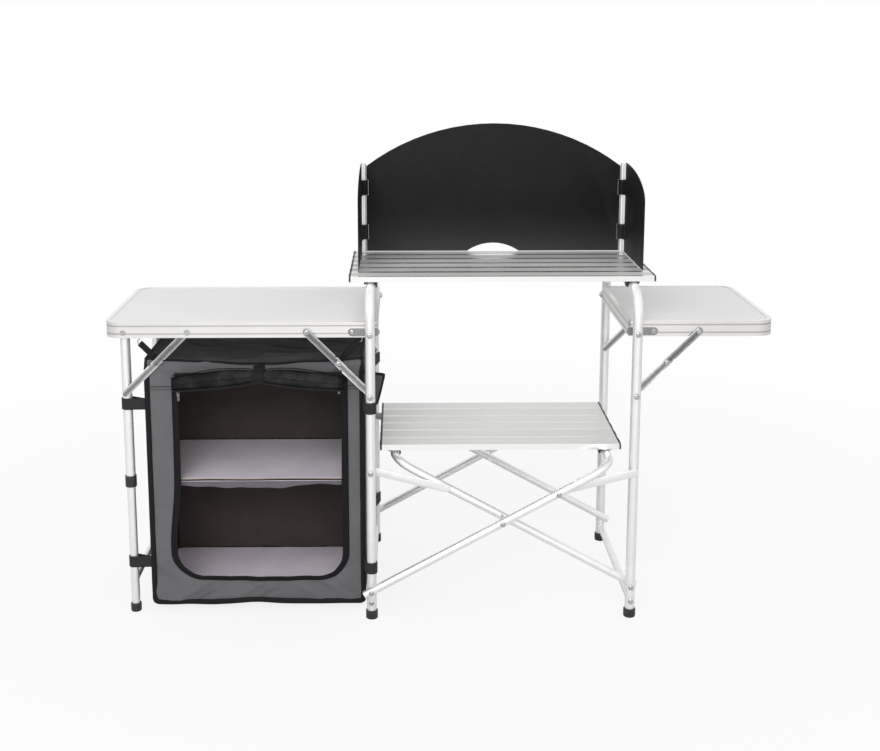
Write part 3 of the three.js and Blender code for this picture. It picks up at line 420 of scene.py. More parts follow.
def netting(name, thread_colour, gap_colour, hole, hem_left, hem_right):
    """Fine mesh net: round holes in rows, the lighter layer below showing through them, and
    closed black hems at both ends of the roll."""
    finish = Finish(name, Roughness=0.65, Specular_IOR_Level=0.16)
    rows = finish.scaled((1 / hole, 1 / hole, 1), (0, 0, math.pi / 4), finish.cut)
    spot = finish.stretch(finish.cells(rows), 0.18, 0.34, 1.0, 0.0)
    uneven = finish.stretch(finish.clouds(finish.place, 26.0, 4.0), 0.38, 0.62)
    place = finish.axis(0, finish.cut)
    inside = finish.calc("MULTIPLY", finish.calc("GREATER_THAN", place, hem_left),
                        finish.calc("LESS_THAN", place, hem_right))
    share = finish.calc("MULTIPLY", finish.calc("MULTIPLY", spot, uneven), inside)
    finish.colour(finish.blend(share, thread_colour, gap_colour))
    finish.bump(spot, -0.0003, 0.8)
    return finish.material


def coated_cloth(name, colour):
    """Coated nylon over a board: silvery lilac, soft cloudy sheen, very fine weave."""
    finish = Finish(name, Specular_IOR_Level=0.45, Coat_Weight=0.12, Coat_Roughness=0.35,
                    Sheen_Weight=0.45, Sheen_Roughness=0.45)
    cloud = finish.clouds(finish.place, 9.0, 4.0)
    tone = finish.calc("MULTIPLY_ADD", finish.threads(0.0005), 0.06, cloud)
    finish.colour(finish.blend(finish.stretch(tone, 0.3, 0.7), shade(colour, 0.92), shade(colour, 1.07)))
    finish.rough(finish.stretch(cloud, 0.35, 0.65, 0.42, 0.56))
    finish.bump(tone, 0.0002, 0.5)
    return finish.material


def zip_tape(name, colour, tooth=0.0022):
    """Zip tape with its coil: the teeth run down the middle of the tape."""
    finish = Finish(name, Roughness=0.6, Specular_IOR_Level=0.16)
    side = finish.calc("ABSOLUTE", finish.axis(0, finish.cut))
    coil = finish.calc("LESS_THAN", side, 0.0022)
    teeth = finish.calc("SINE", finish.calc("MULTIPLY", finish.axis(1, finish.cut), 2 * math.pi / tooth))
    ridge = finish.calc("MULTIPLY", coil, finish.calc("MULTIPLY_ADD", teeth, 0.5, 0.9))
    fuzz = finish.clouds(finish.place, 1200.0, 3.0)
    finish.colour(finish.blend(finish.calc("MULTIPLY", coil, fuzz), shade(colour, 0.9), shade(colour, 1.5)))
    finish.bump(finish.calc("MULTIPLY_ADD", fuzz, 0.3, ridge), 0.0006, 0.8)
    return finish.material


# Mesh builders


def make_piece(name, points, faces, cuts, material, body="left_frame"):
    """A smooth mesh piece with its flat cut as UV, riding on a body."""
    mesh = bpy.data.meshes.new(name)
    mesh.from_pydata([tuple(point) for point in points], [], faces)
    layer = mesh.uv_layers.new(name="cut")
    for loop in mesh.loops:
        layer.data[loop.index].uv = cuts[loop.vertex_index]
    mesh.polygons.foreach_set("use_smooth", [True] * len(mesh.polygons))
    mesh.update()
    piece = bpy.data.objects.new(name, mesh)
    bpy.context.scene.collection.objects.link(piece)
    for finish in material if isinstance(material, (list, tuple)) else [material]:
        mesh.materials.append(finish)
    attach(piece, body)
    return piece


def sheet_grid(across, along, place):
    """Points, faces and flat cut of a sheet; place(u, v) gives a point for shares 0 to 1."""
    points = [place(i / (across - 1), j / (along - 1)) for j in range(along) for i in range(across)]
    faces = []
    for j in range(along - 1):
        for i in range(across - 1):
            first = j * across + i
            faces.append((first, first + 1, first + across + 1, first + across))
    cuts = []
    travelled = [0.0] * across
    for j in range(along):
        run = 0.0
        for i in range(across):
            index = j * across + i
            if i:
                run += (points[index] - points[index - 1]).length
            if j:
                travelled[i] += (points[index] - points[index - across]).length
            cuts.append((run, travelled[i]))
    return points, faces, cuts


def thicken(piece, thickness, lining=0, offset=-1.0):
    """Gives a sheet its cloth's thickness; lining is the material step to its inner side."""
    modifier = piece.modifiers.new("cloth", "SOLIDIFY")
    modifier.thickness = thickness
    modifier.offset = offset
    modifier.material_offset = lining
    modifier.use_even_offset = False


def travel(path, closed):
    """Direction at each point of a path."""
    count = len(path)
    result = []
    for i in range(count):
        before = path[(i - 1) % count] if closed or i else path[i]
        after = path[(i + 1) % count] if closed or i < count - 1 else path[i]
        result.append((after - before).normalized())
    return result


def sweep(path, section, normal, closed=False, scale=None):
    """A section carried along a path. section gives (across, out) pairs in order; out runs along
    normal(i), and across lies at right angles to it and to the path."""
    directions = travel(path, closed)
    count, sides = len(path), len(section)
    points, cuts = [], []
    run = 0.0
    for i, (spot, direction) in enumerate(zip(path, directions)):
        if i:
            run += (spot - path[i - 1]).length
        out = normal(i).normalized()
        out = (out - direction * out.dot(direction)).normalized()
        across = direction.cross(out)
        size = scale(i) if scale else 1.0
        for a, b in section:
            points.append(spot + across * a * size + out * b * size)
            cuts.append((a, run))
    faces = []
    for i in range(count if closed else count - 1):
        first, second = i * sides, ((i + 1) % count) * sides
        for k in range(sides):
            after = (k + 1) % sides
            faces.append((first + k, first + after, second + after, second + k))
    if not closed:
        faces.append(tuple(reversed(range(sides))))
        faces.append(tuple(range((count - 1) * sides, count * sides)))
    return points, faces, cuts


def oval(width, height, sides=14, lift=0.0):
    """An oval section."""
    angles = [2 * math.pi * k / sides for k in range(sides)]
    return [(math.cos(angle) * width / 2, math.sin(angle) * height / 2 + lift) for angle in angles]


def tape(width, thick):
    """A flat tape's section with blunt edges and a few points across."""
    half, edge = width / 2, thick / 2
    across = [-half + edge + (width - thick) * k / 6 for k in range(7)]
    top = [(x, edge) for x in across]
    under = [(x, -edge) for x in reversed(across)]
    return [*top, (half, 0.0), *under, (-half, 0.0)]


def smooth_path(points, steps=8):
    """A curve through points, with small steps between them."""
    count = len(points)
    result = []
    for i in range(count - 1):
        a = points[max(i - 1, 0)]
        b, c = points[i], points[i + 1]
        d = points[min(i + 2, count - 1)]
        for k in range(steps):
            t = k / steps
            result.append(
                0.5
                * (
                    2 * b
                    + (c - a) * t
                    + (2 * a - 5 * b + 4 * c - d) * t * t
                    + (3 * b - a - 3 * c + d) * t ** 3
                )
            )
    result.append(points[-1].copy())
    return result


def ripple(place, size, seed):
    """Smooth noise from -1 to 1 that changes over about size metres, the same on each run."""
    return noise.noise(Vector(place) / size + Vector((seed * 7.3, seed * 3.1, seed * 5.7)))


# The cupboard's shape


def roof_height(share):
    """Height of the cupboard's top at a share of its width; it sags in the middle."""
    return TOP - ROOF_SAG * math.sin(math.pi * share)


def front_outline(count):
    """The front's outer edge as (x, z) pairs, from the top left round by the bottom."""
    corner = 0.011
    pairs = []
    sides = [
        (Vector((LEFT, TOP)), Vector((LEFT, BOTTOM))),
        (Vector((LEFT, BOTTOM)), Vector((RIGHT, BOTTOM))),
        (Vector((RIGHT, BOTTOM)), Vector((RIGHT, TOP))),
        (Vector((RIGHT, TOP)), Vector((LEFT, TOP))),
    ]
    total = 2 * (WIDTH + HEIGHT)
    for start, end in sides:
        length = (end - start).length
        steps = max(2, round(count * length / total))
        for k in range(steps):
            pairs.append(start.lerp(end, k / steps))
    result = []
    for pair in pairs:
        x, z = pair
        share = (x - LEFT) / WIDTH
        if z > TOP - 1e-6:
            z = roof_height(share)
        if z < BOTTOM + 1e-6:
            # the hem rides up a little left of the middle
            z += 0.0048 * math.exp(-(((x + 0.425) / 0.055) ** 2))
        near_x = min(x - LEFT, RIGHT - x)
        near_z = min(z - BOTTOM, TOP - z)
        if near_x < corner and near_z < corner:
            inner = Vector((LEFT + corner if x < MIDDLE else RIGHT - corner,
                            BOTTOM + corner if z < (TOP + BOTTOM) / 2 else TOP - corner))
            away = Vector((x, z)) - inner
            if away.length > corner:
                x, z = inner + away.normalized() * corner
        result.append((x, z))
    return result


def door_point(direction):
    """Where a ray from the opening's middle meets its outline, which bows out at the lower left."""
    middle = DOOR_CENTRE
    dx, dz = direction
    half_x, half_z = (DOOR_RIGHT - DOOR_LEFT) / 2, (DOOR_HIGH - DOOR_LOW) / 2
    reach = min(half_x / abs(dx) if dx else 9, half_z / abs(dz) if dz else 9)
    spot = middle + Vector((dx, dz)) * reach
    if spot.y < DOOR_LOW + DOOR_ROUND:
        for side in (-1, 1):
            centre = Vector((middle.x + side * (half_x - DOOR_ROUND), DOOR_LOW + DOOR_ROUND))
            if (spot.x - centre.x) * side > 0:
                # the round corner: meet the circle instead of the straight sides
                ray = Vector((dx, dz)).normalized()
                back = middle - centre
                b = ray.dot(back)
                c = back.dot(back) - DOOR_ROUND ** 2
                spot = middle + ray * (-b + math.sqrt(max(0.0, b * b - c)))
    x, z = spot
    bow = math.exp(-(((z - 0.15) / 0.11) ** 2))
    if x < middle.x:
        x -= 0.013 * bow * min(1, (middle.x - x) / half_x)
    sag = 0.004 * math.sin(math.pi * (x - DOOR_LEFT) / (DOOR_RIGHT - DOOR_LEFT))
    z -= sag * math.exp(-(((z - DOOR_LOW) / 0.02) ** 2))
    return x, z


# Creases of the front cloth: from (x, z) to (x, z), width and height, which the lift multiplies
CREASE_LIFT = 1.9
CREASES = (
    ((-0.600, 0.028), (-0.520, 0.074), 0.007, 0.0036),
    ((-0.560, 0.024), (-0.500, 0.050), 0.005, -0.0030),
    ((-0.470, 0.030), (-0.400, 0.072), 0.006, 0.0030),
    ((-0.420, 0.024), (-0.360, 0.058), 0.005, -0.0028),
    ((-0.330, 0.070), (-0.270, 0.030), 0.006, 0.0034),
    ((-0.290, 0.074), (-0.235, 0.040), 0.005, -0.0030),
    ((-0.250, 0.100), (-0.190, 0.050), 0.007, 0.0034),
    ((-0.640, 0.120), (-0.600, 0.070), 0.007, 0.0032),
    ((-0.645, 0.330), (-0.612, 0.290), 0.006, 0.0018),
    ((-0.640, 0.470), (-0.615, 0.440), 0.005, 0.0016),
    ((-0.205, 0.300), (-0.182, 0.250), 0.005, 0.0018),
    ((-0.640, 0.585), (-0.560, 0.560), 0.006, 0.0022),
    ((-0.190, 0.585), (-0.260, 0.568), 0.006, 0.0022),
)


def crease_depth(x, z):
    """What the creases add at a place of the front."""
    total = 0.0
    spot = Vector((x, z))
    for start, end, width, height in CREASES:
        start, end = Vector(start), Vector(end)
        along = end - start
        share = min(1.0, max(0.0, (spot - start).dot(along) / along.length_squared))
        away = (spot - start - along * share).length / width
        fade = math.sin(math.pi * min(0.97, max(0.03, share)))
        total += CREASE_LIFT * height * math.exp(-away * away) * fade
    return total


def front_depth(x, z):
    """Depth of the front cloth at a place: waves low down, soft puckers and the creases."""
    low = max(0.0, 1 - (z - BOTTOM) / 0.16)
    lean = ripple((x + z * 1.2, z * 0.5, 0), 0.050, 2) * 0.0060 * low
    soft = ripple((x, z, 0), 0.09, 5) * 0.0036
    side = ripple((x * 3, z, 0), 0.05, 7) * 0.0012
    return FRONT + 0.0022 + lean + soft + side - crease_depth(x, z)


# Properties


class KitchenFinishProperties(bpy.types.PropertyGroup):
    """Colours of the metal, board and plastic."""

    tube: bpy.props.FloatVectorProperty(
        name="Tube", description="Colour of the anodised tubes", subtype="COLOR",
        default=(0.91, 0.91, 0.905), min=0, max=1)
    slat: bpy.props.FloatVectorProperty(
        name="Slats", description="Colour of the deck slats", subtype="COLOR",
        default=(0.76, 0.76, 0.745), min=0, max=1)
    rim: bpy.props.FloatVectorProperty(
        name="Rim", description="Colour of the table rims", subtype="COLOR",
        default=(0.84, 0.825, 0.81), min=0, max=1)
    stay: bpy.props.FloatVectorProperty(
        name="Stays", description="Colour of the zinc-plated stays and plates", subtype="COLOR",
        default=(0.30, 0.30, 0.31), min=0, max=1)
    channel: bpy.props.FloatVectorProperty(
        name="Channels", description="Colour of the stays' lower channels", subtype="COLOR",
        default=(0.44, 0.44, 0.44), min=0, max=1)
    rivet: bpy.props.FloatVectorProperty(
        name="Rivets", description="Colour of the rivet heads", subtype="COLOR",
        default=(0.50, 0.50, 0.50), min=0, max=1)
    table: bpy.props.FloatVectorProperty(
        name="Table top", description="Colour of the laminate", subtype="COLOR",
        default=(0.93, 0.93, 0.925), min=0, max=1)
    board: bpy.props.FloatVectorProperty(
        name="Windshield", description="Colour of the windshield boards", subtype="COLOR",
        default=(0.010, 0.010, 0.010), min=0, max=1)
    plastic: bpy.props.FloatVectorProperty(
        name="Plastic", description="Colour of the feet, saddles and strips", subtype="COLOR",
        default=(0.022, 0.022, 0.023), min=0, max=1)
    edge: bpy.props.FloatProperty(
        name="Edge round", description="Radius on the edges of solid parts", subtype="DISTANCE",
        default=0.0005, min=0, max=0.003)


class KitchenClothProperties(bpy.types.PropertyGroup):
    """Sizes and colours of the cloth cupboard."""

    front: bpy.props.FloatVectorProperty(
        name="Front", description="Colour of the grey front cloth", subtype="COLOR",
        default=(0.135, 0.132, 0.142), min=0, max=1)
    roof: bpy.props.FloatVectorProperty(
        name="Roof", description="Colour of the charcoal roof and walls", subtype="COLOR",
        default=(0.021, 0.020, 0.020), min=0, max=1)
    lining: bpy.props.FloatVectorProperty(
        name="Lining", description="Colour of the inside", subtype="COLOR",
        default=(0.066, 0.054, 0.048), min=0, max=1)
    binding: bpy.props.FloatVectorProperty(
        name="Binding", description="Colour of the edge tape and straps", subtype="COLOR",
        default=(0.010, 0.010, 0.010), min=0, max=1)
    shelf: bpy.props.FloatVectorProperty(
        name="Shelf", description="Colour of the coated cloth on the boards", subtype="COLOR",
        default=(0.95, 0.86, 1.0), min=0, max=1)
    piping: bpy.props.FloatVectorProperty(
        name="Shelf piping", description="Colour of the thin piping on the shelf's front edge",
        subtype="COLOR", default=(0.30, 0.21, 0.14), min=0, max=1)
    hook: bpy.props.FloatVectorProperty(
        name="Hooks", description="Colour of the wire hooks", subtype="COLOR",
        default=(0.42, 0.42, 0.43), min=0, max=1)
    zip_pull: bpy.props.FloatVectorProperty(
        name="Zip pulls", description="Colour of the zip pulls", subtype="COLOR",
        default=(0.16, 0.16, 0.165), min=0, max=1)
    net_gap: bpy.props.FloatVectorProperty(
        name="Net holes", description="Colour that shows through the holes of the net",
        subtype="COLOR", default=(0.105, 0.105, 0.105), min=0, max=1)
    thickness: bpy.props.FloatProperty(
        name="Cloth", description="Thickness of the cloth", subtype="DISTANCE",
        default=0.0012, min=0.0003, max=0.004)
    binding_width: bpy.props.FloatProperty(
        name="Binding width", description="Width of the tape over the edges", subtype="DISTANCE",
        default=0.0125, min=0.004, max=0.03)
    zip_width: bpy.props.FloatProperty(
        name="Zip width", description="Width of the zip tape round the door", subtype="DISTANCE",
        default=0.015, min=0.006, max=0.03)
    strap_width: bpy.props.FloatProperty(
        name="Strap width", description="Width of the straps round the legs", subtype="DISTANCE",
        default=0.026, min=0.01, max=0.04)
    hole: bpy.props.FloatProperty(
        name="Net pitch", description="Distance between the holes of the net", subtype="DISTANCE",
        default=0.0042, min=0.001, max=0.01)
    roll_turns: bpy.props.FloatProperty(
        name="Roll turns", description="Turns of the rolled door", default=9.0, min=2, max=20)


class KitchenStageProperties(bpy.types.PropertyGroup):
    """Camera, lamps and floor."""

    camera_place: bpy.props.FloatVectorProperty(
        name="Camera", description="Place of the camera", subtype="XYZ",
        default=(-0.082, -2.986, 1.317))
    camera_pitch: bpy.props.FloatProperty(
        name="Pitch", description="How far the camera looks down", subtype="ANGLE",
        default=0.1839)
    camera_yaw: bpy.props.FloatProperty(
        name="Yaw", description="How far the camera looks aside", subtype="ANGLE",
        default=-0.0148)
    lens: bpy.props.FloatProperty(
        name="Lens", description="Focal length in millimetres", unit="CAMERA",
        default=53.12, min=20, max=200)
    sky: bpy.props.FloatProperty(
        name="Sky", description="Strength of the surrounding light", default=0.60, min=0, max=2)
    key: bpy.props.FloatProperty(
        name="Key lamp", description="Power of the large lamp", unit="POWER",
        default=40.0, min=0, max=500)
    front: bpy.props.FloatProperty(
        name="Front lamp", description="Power of the lamp in front", unit="POWER",
        default=60.0, min=0, max=500)
    floor: bpy.props.FloatVectorProperty(
        name="Floor", description="Colour of the floor", subtype="COLOR",
        default=(0.95, 0.95, 0.95), min=0, max=1)


# Dressing the CAD parts


def dress(names, material, edge=0.0, crease=32.0):
    """Gives CAD nodes a material, smooth curved faces and softly rounded edges."""
    for name in names:
        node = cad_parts[name]
        mesh = node.data
        for label in ("custom_normal", "sharp_edge", "sharp_face"):
            if label in mesh.attributes:
                mesh.attributes.remove(mesh.attributes[label])
        mesh.polygons.foreach_set("use_smooth", [True] * len(mesh.polygons))
        for index in range(len(mesh.materials)):
            mesh.materials[index] = material
        weld = node.modifiers.new("weld", "WELD")
        weld.merge_threshold = 0.00002
        if edge:
            bevel = node.modifiers.new("edge", "BEVEL")
            bevel.width = edge
            bevel.segments = 2
            bevel.limit_method = "ANGLE"
            bevel.angle_limit = math.radians(crease)
            bevel.use_clamp_overlap = True
        split = node.modifiers.new("split", "EDGE_SPLIT")
        split.split_angle = math.radians(crease)


class KITCHEN_OT_tubes(bpy.types.Operator):
    """Finish the legs, cross-bars, scissor frame, links and posts"""

    bl_idname = "kitchen.tubes"
    bl_label = "Finish the tubes"

    def execute(self, context):
        colour = tuple(context.scene.kitchen_finish.tube)
        upright = drawn_tube("tube_upright", colour)
        slope = math.atan2(SCISSOR_RISE, SCISSOR_RUN)
        dress(
            ["left_frame_tube", "right_frame_tube", "outer_front_leg_upper", "outer_rear_leg_upper",
             "outer_leg_lower_frame", "windshield_left_post", "windshield_right_post"],
            upright,
        )
        dress(["left_crossbar", "right_crossbar"], drawn_tube("tube_across", colour, "y"))
        dress(["scissor_outer_tube"], drawn_tube("tube_rising", colour, "x", slope))
        dress(["scissor_inner_tube"], drawn_tube("tube_falling", colour, "x", -slope))
        dress(
            [f"{side}_{end}_link" for side in ("left", "right") for end in ("front", "rear")],
            drawn_tube("link_bright", shade(colour, 0.96), "x", 0.0, 0.36),
            context.scene.kitchen_finish.edge,
        )
        return {"FINISHED"}


class KITCHEN_OT_decks(bpy.types.Operator):
    """Finish the slatted decks"""

    bl_idname = "kitchen.decks"
    bl_label = "Finish the decks"

    def execute(self, context):
        looks = context.scene.kitchen_finish
        colour = tuple(looks.slat)
        dress(["top_deck_slats"],
              brushed_slats("slat_top", shade(colour, 1.02), glint_reach=0.0100, metal=0.16))
        dress(["lower_deck_slats"],
              brushed_slats("slat_lower", shade(colour, 1.10), glint_reach=0.0050, metal=0.5))
        return {"FINISHED"}


class KITCHEN_OT_tables(bpy.types.Operator):
    """Finish the table tops and their rims"""

    bl_idname = "kitchen.tables"
    bl_label = "Finish the tables"

    def execute(self, context):
        looks = context.scene.kitchen_finish
        dress(["left_table_panel", "right_table_panel"],
              laminate("table_laminate", tuple(looks.table)))
        dress(["left_table_rim", "right_table_rim"],
              rolled_rim("rim_rolled", tuple(looks.rim), tuple(looks.stay)))
        return {"FINISHED"}


class KITCHEN_OT_stays(bpy.types.Operator):
    """Finish the folding stays"""

    bl_idname = "kitchen.stays"
    bl_label = "Finish the stays"

    def execute(self, context):
        looks = context.scene.kitchen_finish
        for group, line in (
            ("right", (0.5715, PIVOT_Z, -1)),
            ("left_inner", (-0.2945, PIVOT_Z, 1)),
            ("left_outer", (-0.5575, PIVOT_Z, -1)),
        ):
            upper = zinc_plate(f"stay_zinc_{group}", tuple(looks.stay), 0.38, line)
            lower = zinc_plate(f"stay_channel_{group}", tuple(looks.channel), 0.34, line)
            dress([f"{group}_{end}_stay_upper" for end in ("front", "rear")], upper, looks.edge)
            dress([f"{group}_{end}_stay_lower" for end in ("front", "rear")], lower, looks.edge)
        return {"FINISHED"}


class KITCHEN_OT_rivets(bpy.types.Operator):
    """Put domed heads on the rivets"""

    bl_idname = "kitchen.rivets"
    bl_label = "Domed rivet heads"

    def execute(self, context):
        steel = zinc_plate("rivet_steel", tuple(context.scene.kitchen_finish.rivet), 0.22)
        for body, heads in RIVETS.items():
            points, faces = [], []
            for x, face, z, rise in heads:
                for side in (-1, 1):
                    self.head(points, faces, (x, side * face, z), side * rise)
            cuts = [(point.x, point.z) for point in points]
            make_piece(f"rivet_heads_{body}", points, faces, cuts, steel, body)
        return {"FINISHED"}

    @staticmethod
    def head(points, faces, place, rise):
        """Adds one closed dome to a list of points and faces; its rise also gives its side."""
        x, y, z = place
        sides = RIVET_SIDES
        start = len(points)
        quads = []
        for size, share in RIVET_PROFILE:
            for k in range(sides):
                angle = 2 * math.pi * k / sides
                points.append(Vector((x + size * math.cos(angle), y + share * rise,
                                      z + size * math.sin(angle))))
        points.append(Vector((x, y + rise, z)))
        for ring in range(len(RIVET_PROFILE) - 1):
            for k in range(sides):
                a, b = start + ring * sides + k, start + ring * sides + (k + 1) % sides
                quads.append((a, b, b + sides, a + sides))
        top = start + (len(RIVET_PROFILE) - 1) * sides
        for k in range(sides):
            quads.append((top + k, top + (k + 1) % sides, len(points) - 1))
        quads.append(tuple(reversed(range(start, start + sides))))
        faces.extend(quad if rise < 0 else tuple(reversed(quad)) for quad in quads)


class KITCHEN_OT_mouldings(bpy.types.Operator):
    """Finish the feet, saddles, collars and deck strips"""

    bl_idname = "kitchen.mouldings"
    bl_label = "Finish the mouldings"

    def execute(self, context):
        looks = context.scene.kitchen_finish
        names = [
            f"{side}_{end}_{kind}"
            for side in ("left", "right")
            for end in ("front", "rear")
            for kind in ("foot", "deck_saddle", "shelf_saddle")
        ]
        names += [f"outer_{end}_{kind}" for end in ("front", "rear") for kind in ("leg_collar", "foot")]
        names += [f"{deck}_deck_{side}_strip" for deck in ("top", "lower") for side in ("left", "right")]
        dress(names, moulded_plastic("plastic_black", tuple(looks.plastic)), looks.edge)
        return {"FINISHED"}


class KITCHEN_OT_windshield(bpy.types.Operator):
    """Finish the windshield's boards"""

    bl_idname = "kitchen.windshield"
    bl_label = "Finish the windshield"

    def execute(self, context):
        looks = context.scene.kitchen_finish
        dress(
            ["windshield_panel", "windshield_left_wing", "windshield_right_wing"],
            painted_board("board_painted", tuple(looks.board)),
            looks.edge,
        )
        return {"FINISHED"}


# The cupboard's pieces


def cloth_finish(name):
    """A material of the cupboard, made once."""
    made = bpy.data.materials.get(name)
    if made:
        return made
    looks = bpy.context.scene.kitchen_cloth
    makers = {
        "cloth_grey": lambda: woven(name, tuple(looks.front)),
        "cloth_charcoal": lambda: woven(name, tuple(looks.roof), sheen=0.06, fade=0.35),
        "cloth_lining": lambda: woven(name, tuple(looks.lining), sheen=0.05, fade=0.2),
        "tape_black": lambda: webbing(name, shade(tuple(looks.binding), 0.8)),
        "strap_webbing": lambda: webbing(name, shade(tuple(looks.binding), 2.6)),
        # the flap's cloth is the front's grey, darkened as painted shade on the leaning flap
        "cloth_flap_painted_shade": lambda: woven(name, shade(tuple(looks.front), 0.55)),
        "cloth_lilac": lambda: coated_cloth(name, tuple(looks.shelf)),
        "cloth_valance": lambda: woven(name, shade(tuple(looks.shelf), 0.145)),
        "seam_thread": lambda: webbing(name, shade(tuple(looks.front), 0.42), 0.0042),
        "piping_tan": lambda: webbing(name, tuple(looks.piping)),
        "zip_black": lambda: zip_tape(name, shade(tuple(looks.binding), 0.6)),
        "net_black": lambda: netting(
            name, shade(tuple(looks.binding), 0.5), tuple(looks.net_gap), looks.hole,
            DOOR_LEFT + 0.012, DOOR_RIGHT - 0.012),
        "steel_small": lambda: zinc_plate(name, tuple(looks.hook), 0.25),
        "steel_dark": lambda: zinc_plate(name, tuple(looks.zip_pull), 0.3),
    }
    return makers[name]()


def crush(*pieces):
    """Gives pieces of the cupboard their own mesh."""
    for piece in pieces:
        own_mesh(piece)


def facing_front(index):
    """The outer side of a strip that lies on the front, the same at each point of its path."""
    return Vector((0, -1, 0))


class KITCHEN_OT_cupboard_front(bpy.types.Operator):
    """Make the grey front with its door opening"""

    bl_idname = "kitchen.cupboard_front"
    bl_label = "Cupboard front"

    def execute(self, context):
        looks = context.scene.kitchen_cloth
        outer = front_outline(330)
        rings = 15
        points, cuts, faces = [], [], []
        for x, z in outer:
            inner_x, inner_z = door_point((x - DOOR_CENTRE.x, z - DOOR_CENTRE.y))
            for k in range(rings):
                share = k / (rings - 1)
                px, pz = x + (inner_x - x) * share, z + (inner_z - z) * share
                points.append(Vector((px, front_depth(px, pz), pz)))
                cuts.append((px, pz))
        count = len(outer)
        for i in range(count):
            first, second = i * rings, ((i + 1) % count) * rings
            for k in range(rings - 1):
                faces.append((first + k, second + k, second + k + 1, first + k + 1))
        front = make_piece(
            "cupboard_front", points, faces, cuts,
            [cloth_finish("cloth_grey"), cloth_finish("cloth_lining")])
        thicken(front, looks.thickness, 1)
        crush(front)
        for name, start, end in (("left", LEFT + 0.010, DOOR_LEFT - 0.006),
                                 ("right", DOOR_RIGHT + 0.006, RIGHT - 0.010)):
            for row, (z, width) in enumerate(SEAM_ROWS):
                path = []
                for k in range(31):
                    x = start + (end - start) * k / 30
                    path.append(Vector((x, front_depth(x, z) - 0.0009, z)))
                more, quads, flat = sweep(path, oval(width, 0.0008, 8), facing_front)
                seam = make_piece(f"cupboard_seam_{name}_{row}", more, quads, flat,
                                  cloth_finish("seam_thread"))
                crush(seam)
        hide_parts("cupboard_shell")
        return {"FINISHED"}


class KITCHEN_OT_cupboard_walls(bpy.types.Operator):
    """Make the charcoal sides, back, floor and roof"""

    bl_idname = "kitchen.cupboard_walls"
    bl_label = "Cupboard walls and roof"

    def execute(self, context):
        looks = context.scene.kitchen_cloth
        finishes = [cloth_finish("cloth_charcoal"), cloth_finish("cloth_lining")]
        run = 2 * DEPTH + WIDTH
        inset = 0.002  # how far the panels stand inside the cupboard's outside

        def wall(u, v):
            distance = u * run
            z = BOTTOM + inset + (HEIGHT - 2 * inset) * v
            # the walls are held at the base, the shelf and the top, and free between them
            low, high = (BASE_TOP, SHELF_TOP) if z < SHELF_TOP else (SHELF_TOP, TOP)
            slack = max(0.0, math.sin(math.pi * max(0.0, (z - low) / (high - low))))
            bulge = (0.0030 + ripple((distance, z, 0), 0.11, 11) * 0.0060) * slack
            bulge += ripple((distance * 1.2 + z, z * 2.0, 0), 0.035, 12) * 0.0022 * slack
            if distance < DEPTH:
                pull = math.sin(math.pi * distance / DEPTH)
                return Vector((LEFT + inset - bulge * pull, FRONT + distance, z))
            if distance < DEPTH + WIDTH:
                share = (distance - DEPTH) / WIDTH
                pull = math.sin(math.pi * share)
                z = BOTTOM + inset + (roof_height(share) - BOTTOM - 2 * inset) * v
                return Vector((LEFT + WIDTH * share, BACK - inset + bulge * pull, z))
            pull = math.sin(math.pi * (distance - DEPTH - WIDTH) / DEPTH)
            return Vector((RIGHT - inset + bulge * pull, BACK - (distance - DEPTH - WIDTH), z))

        points, faces, cuts = sheet_grid(150, 70, wall)
        faces = [tuple(reversed(face)) for face in faces]
        walls = make_piece("cupboard_walls", points, faces, cuts, finishes)
        thicken(walls, looks.thickness, 1)

        def roof(u, v):
            x, y = LEFT + WIDTH * u, FRONT + inset + (DEPTH - 2 * inset) * v
            sag = math.sin(math.pi * u)
            fold = ripple((x * 0.7 + y * 0.5, y * 0.7 - x * 0.4, 0), 0.075, 21) * 0.0034
            ridge = 1 - abs(ripple((x * 0.5 + y * 0.8, y * 0.35 - x * 0.2, 0), 0.06, 23)) * 2
            crease = max(0.0, ridge) ** 4 * 0.0022 * math.sin(math.pi * v)
            edge = min(1.0, 6 * min(u, 1 - u), 8 * min(v, 1 - v))
            deep = 0.006 * sag * math.sin(math.pi * v)
            return Vector((x, y, TOP - 0.001 - ROOF_SAG * sag - deep + (fold - crease) * edge))

        points, faces, cuts = sheet_grid(110, 74, roof)
        top = make_piece("cupboard_roof", points, faces, cuts, finishes)
        thicken(top, looks.thickness, 1)

        def floor(u, v):
            x, y = LEFT + WIDTH * (1 - u), FRONT + inset + (DEPTH - 2 * inset) * v
            wave = ripple((x, y, 0), 0.08, 31) * 0.0015
            return Vector((x, y, BOTTOM + 0.003 + wave))

        points, faces, cuts = sheet_grid(60, 40, floor)
        under = make_piece("cupboard_floor", points, faces, cuts, finishes)
        thicken(under, looks.thickness, 1)
        crush(walls, top, under)
        return {"FINISHED"}


